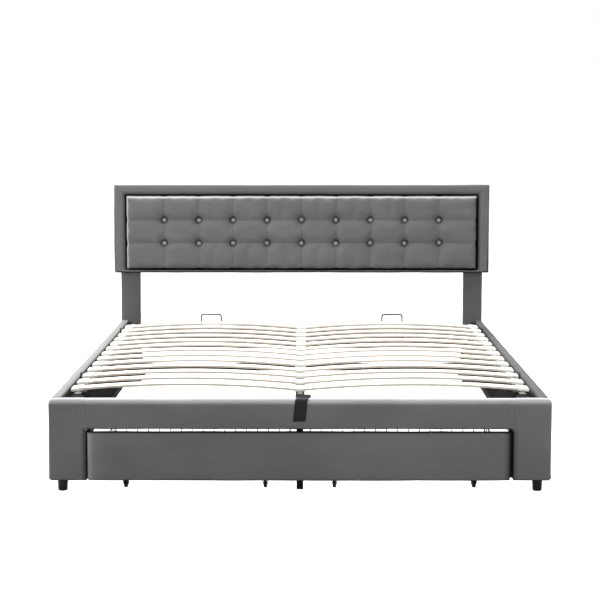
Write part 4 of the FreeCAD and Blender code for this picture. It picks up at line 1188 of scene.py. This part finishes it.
def make_forks():
    """Pressed castor forks: a top plate and two cheeks that narrow towards the axle."""
    outline = CHEEK + [(-y, z, splay) for y, z, splay in CHEEK[::-1]]
    count = len(outline)
    faces = [tuple(range(count)), tuple(range(count, 2 * count))] + skin(2, count)
    parts = []
    for low, high in islands("castor_forks"):
        x, y, _ = (low + high) / 2
        plate = (x - 13 * MM, y - 15 * MM, high.z - 2 * MM), (x + 13 * MM, y + 15 * MM, high.z)
        parts.append(block("fork", "X", *plate, 0.8 * MM, 0.8 * MM))
        for sign in SIDES.values():
            vertices = [
                (x + sign * (high.x - x - inset + splay * MM), y + out * MM, z * MM)
                for inset in (0.0, 1.5 * MM)
                for out, z, splay in outline
            ]
            parts.append(add_mesh("fork", vertices, faces, False))
    place(joined("castor_fork_plates", parts), "drawer", "black_steel", "castor_forks")


# ---- fittings, feet and strap ----


def make_feet():
    parts = []
    for low, high in islands("front_feet"):
        radius, tall = (high.x - low.x) / 2, high.z - low.z
        profile = [(0, 0), (radius - 4.5 * MM, 0), (radius - 2.6 * MM, 0.8 * MM)]
        profile += [(radius - 1.9 * MM, 2.6 * MM), (radius - 0.2 * MM, tall - 3 * MM)]
        profile += [(radius, tall - 2 * MM), (radius, tall), (0, tall)]
        centre = ((low.x + high.x) / 2, (low.y + high.y) / 2, low.z)
        parts.append(lathe("foot", profile, "Z", centre, 40))
    place(joined("front_feet_moulded", parts), "base", "black_plastic", "front_feet")


def strap_route():
    """The strap's line seen from the side: places (y, z) from the crossbar to its free end."""
    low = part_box("pull_strap")[0]
    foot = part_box("foot_cover_center")
    bar_low, bar_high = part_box("lift_crossbar_foot")
    top, face = foot[1].z + 1.4 * MM, foot[0].y - 1.4 * MM
    bend = 11 * MM
    corner = (face + bend, top - bend)
    route = [(bar_high.y - 3 * MM, bar_high.z + 0.4 * MM), (bar_low.y + 9 * MM, bar_high.z + 1.5 * MM)]
    # A hump stands between the crossbar and the board, where the webbing is turned over.
    hump, reach = 10 * MM, 32 * MM
    for k in range(9):
        share = k / 8
        y = bar_low.y - reach * share
        z = bar_high.z + 6 * MM + (top - bar_high.z - 6 * MM) * share
        route.append((y, z + hump * math.sin(math.pi * share)))
    for k in range(9):
        angle = math.radians(90 + 90 * k / 8)
        route.append((corner[0] + bend * math.cos(angle), corner[1] + bend * math.sin(angle)))
    for z in spread(corner[1], low.z, 0.005)[1:]:
        hang = (corner[1] - z) / (corner[1] - low.z)
        route.append((face - 2.2 * MM * hang**2, z))
    return route


def make_strap():
    """Webbing over the foot board: it lies obliquely, its free end hemmed."""
    low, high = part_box("pull_strap")
    width, middle = 1.05 * (high.x - low.x), (low.x + high.x) / 2
    thick, hem, hem_extra, curl = 2.2 * MM, 16 * MM, 1.0 * MM, 1.1 * MM
    slant, held = 0.15, 20  # the places of the route that lie on the crossbar and the board
    route = strap_route()
    along = [0.0]
    for before, after in zip(route, route[1:]):
        along.append(along[-1] + math.dist(before, after))
    total = along[-1]
    across = [share / 12 - 0.5 for share in range(13)]
    vertices, weave = [], []
    for index, (y, z) in enumerate(route):
        share = along[index] / total
        previous, following = route[max(index - 1, 0)], route[min(index + 1, len(route) - 1)]
        tangent = Vector((following[0] - previous[0], following[1] - previous[1])).normalized()
        centre = middle + 3 * MM + 10 * MM * math.cos(math.pi * share)
        depth = thick + (hem_extra if total - along[index] < hem else 0.0)
        hang = slant * width * (1 - math.exp(-max(0, index - held) / 4))
        for outer in (0, 1):
            for part in across:
                edge = abs(part) * 2
                offset = depth * outer * (1 - 0.4 * edge**10) + curl * edge**3 * share
                fall = tangent.x * offset + hang * part
                vertices.append((centre + part * width, y + tangent.y * offset, z - fall))
                weave.append((part * width, along[index]))
    wide, ring = len(across), 2 * len(across)
    loop = list(range(wide)) + list(range(ring - 1, wide - 1, -1))
    faces = []
    for first in range(0, len(vertices) - ring, ring):
        faces += band([first + k for k in loop], [first + ring + k for k in loop])
    for first in (0, len(vertices) - ring):
        faces += [(k, k + 1, k + wide + 1, k + wide) for k in range(first, first + wide - 1)]
    piece = add_mesh("pull_strap_webbing", vertices, faces)
    lay_map(piece, "weave", weave)
    place(piece, "lift_frame", "webbing", "pull_strap")


def dress_cad_nodes():
    """Fittings whose CAD shape is right keep it, with a real finish."""
    slots = {part["node"]: part["material_slot"] for part in frame["record"]["subparts"]}
    for name, node in frame["nodes"].items():
        if not node.hide_render:
            node.data.materials.clear()
            node.data.materials.append(material_for(slots[name]))


def main():
    make_camera()
    make_studio()
    make_rails_and_foot_board()
    make_drawer_front()
    make_gap_shade_strips()
    make_headboard_legs()
    make_headboard_border()
    make_headboard_pad()
    make_buttons()
    make_slats()
    make_sockets()
    make_tubes()
    make_tube_plugs()
    make_stops()
    make_baskets()
    make_wheels()
    make_forks()
    make_feet()
    make_strap()
    dress_cad_nodes()


main()
shown_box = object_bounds()
boxes = {"cad": cad_box, "visual": shown_box}
{name: [list(corner) for corner in box] for name, box in boxes.items()}
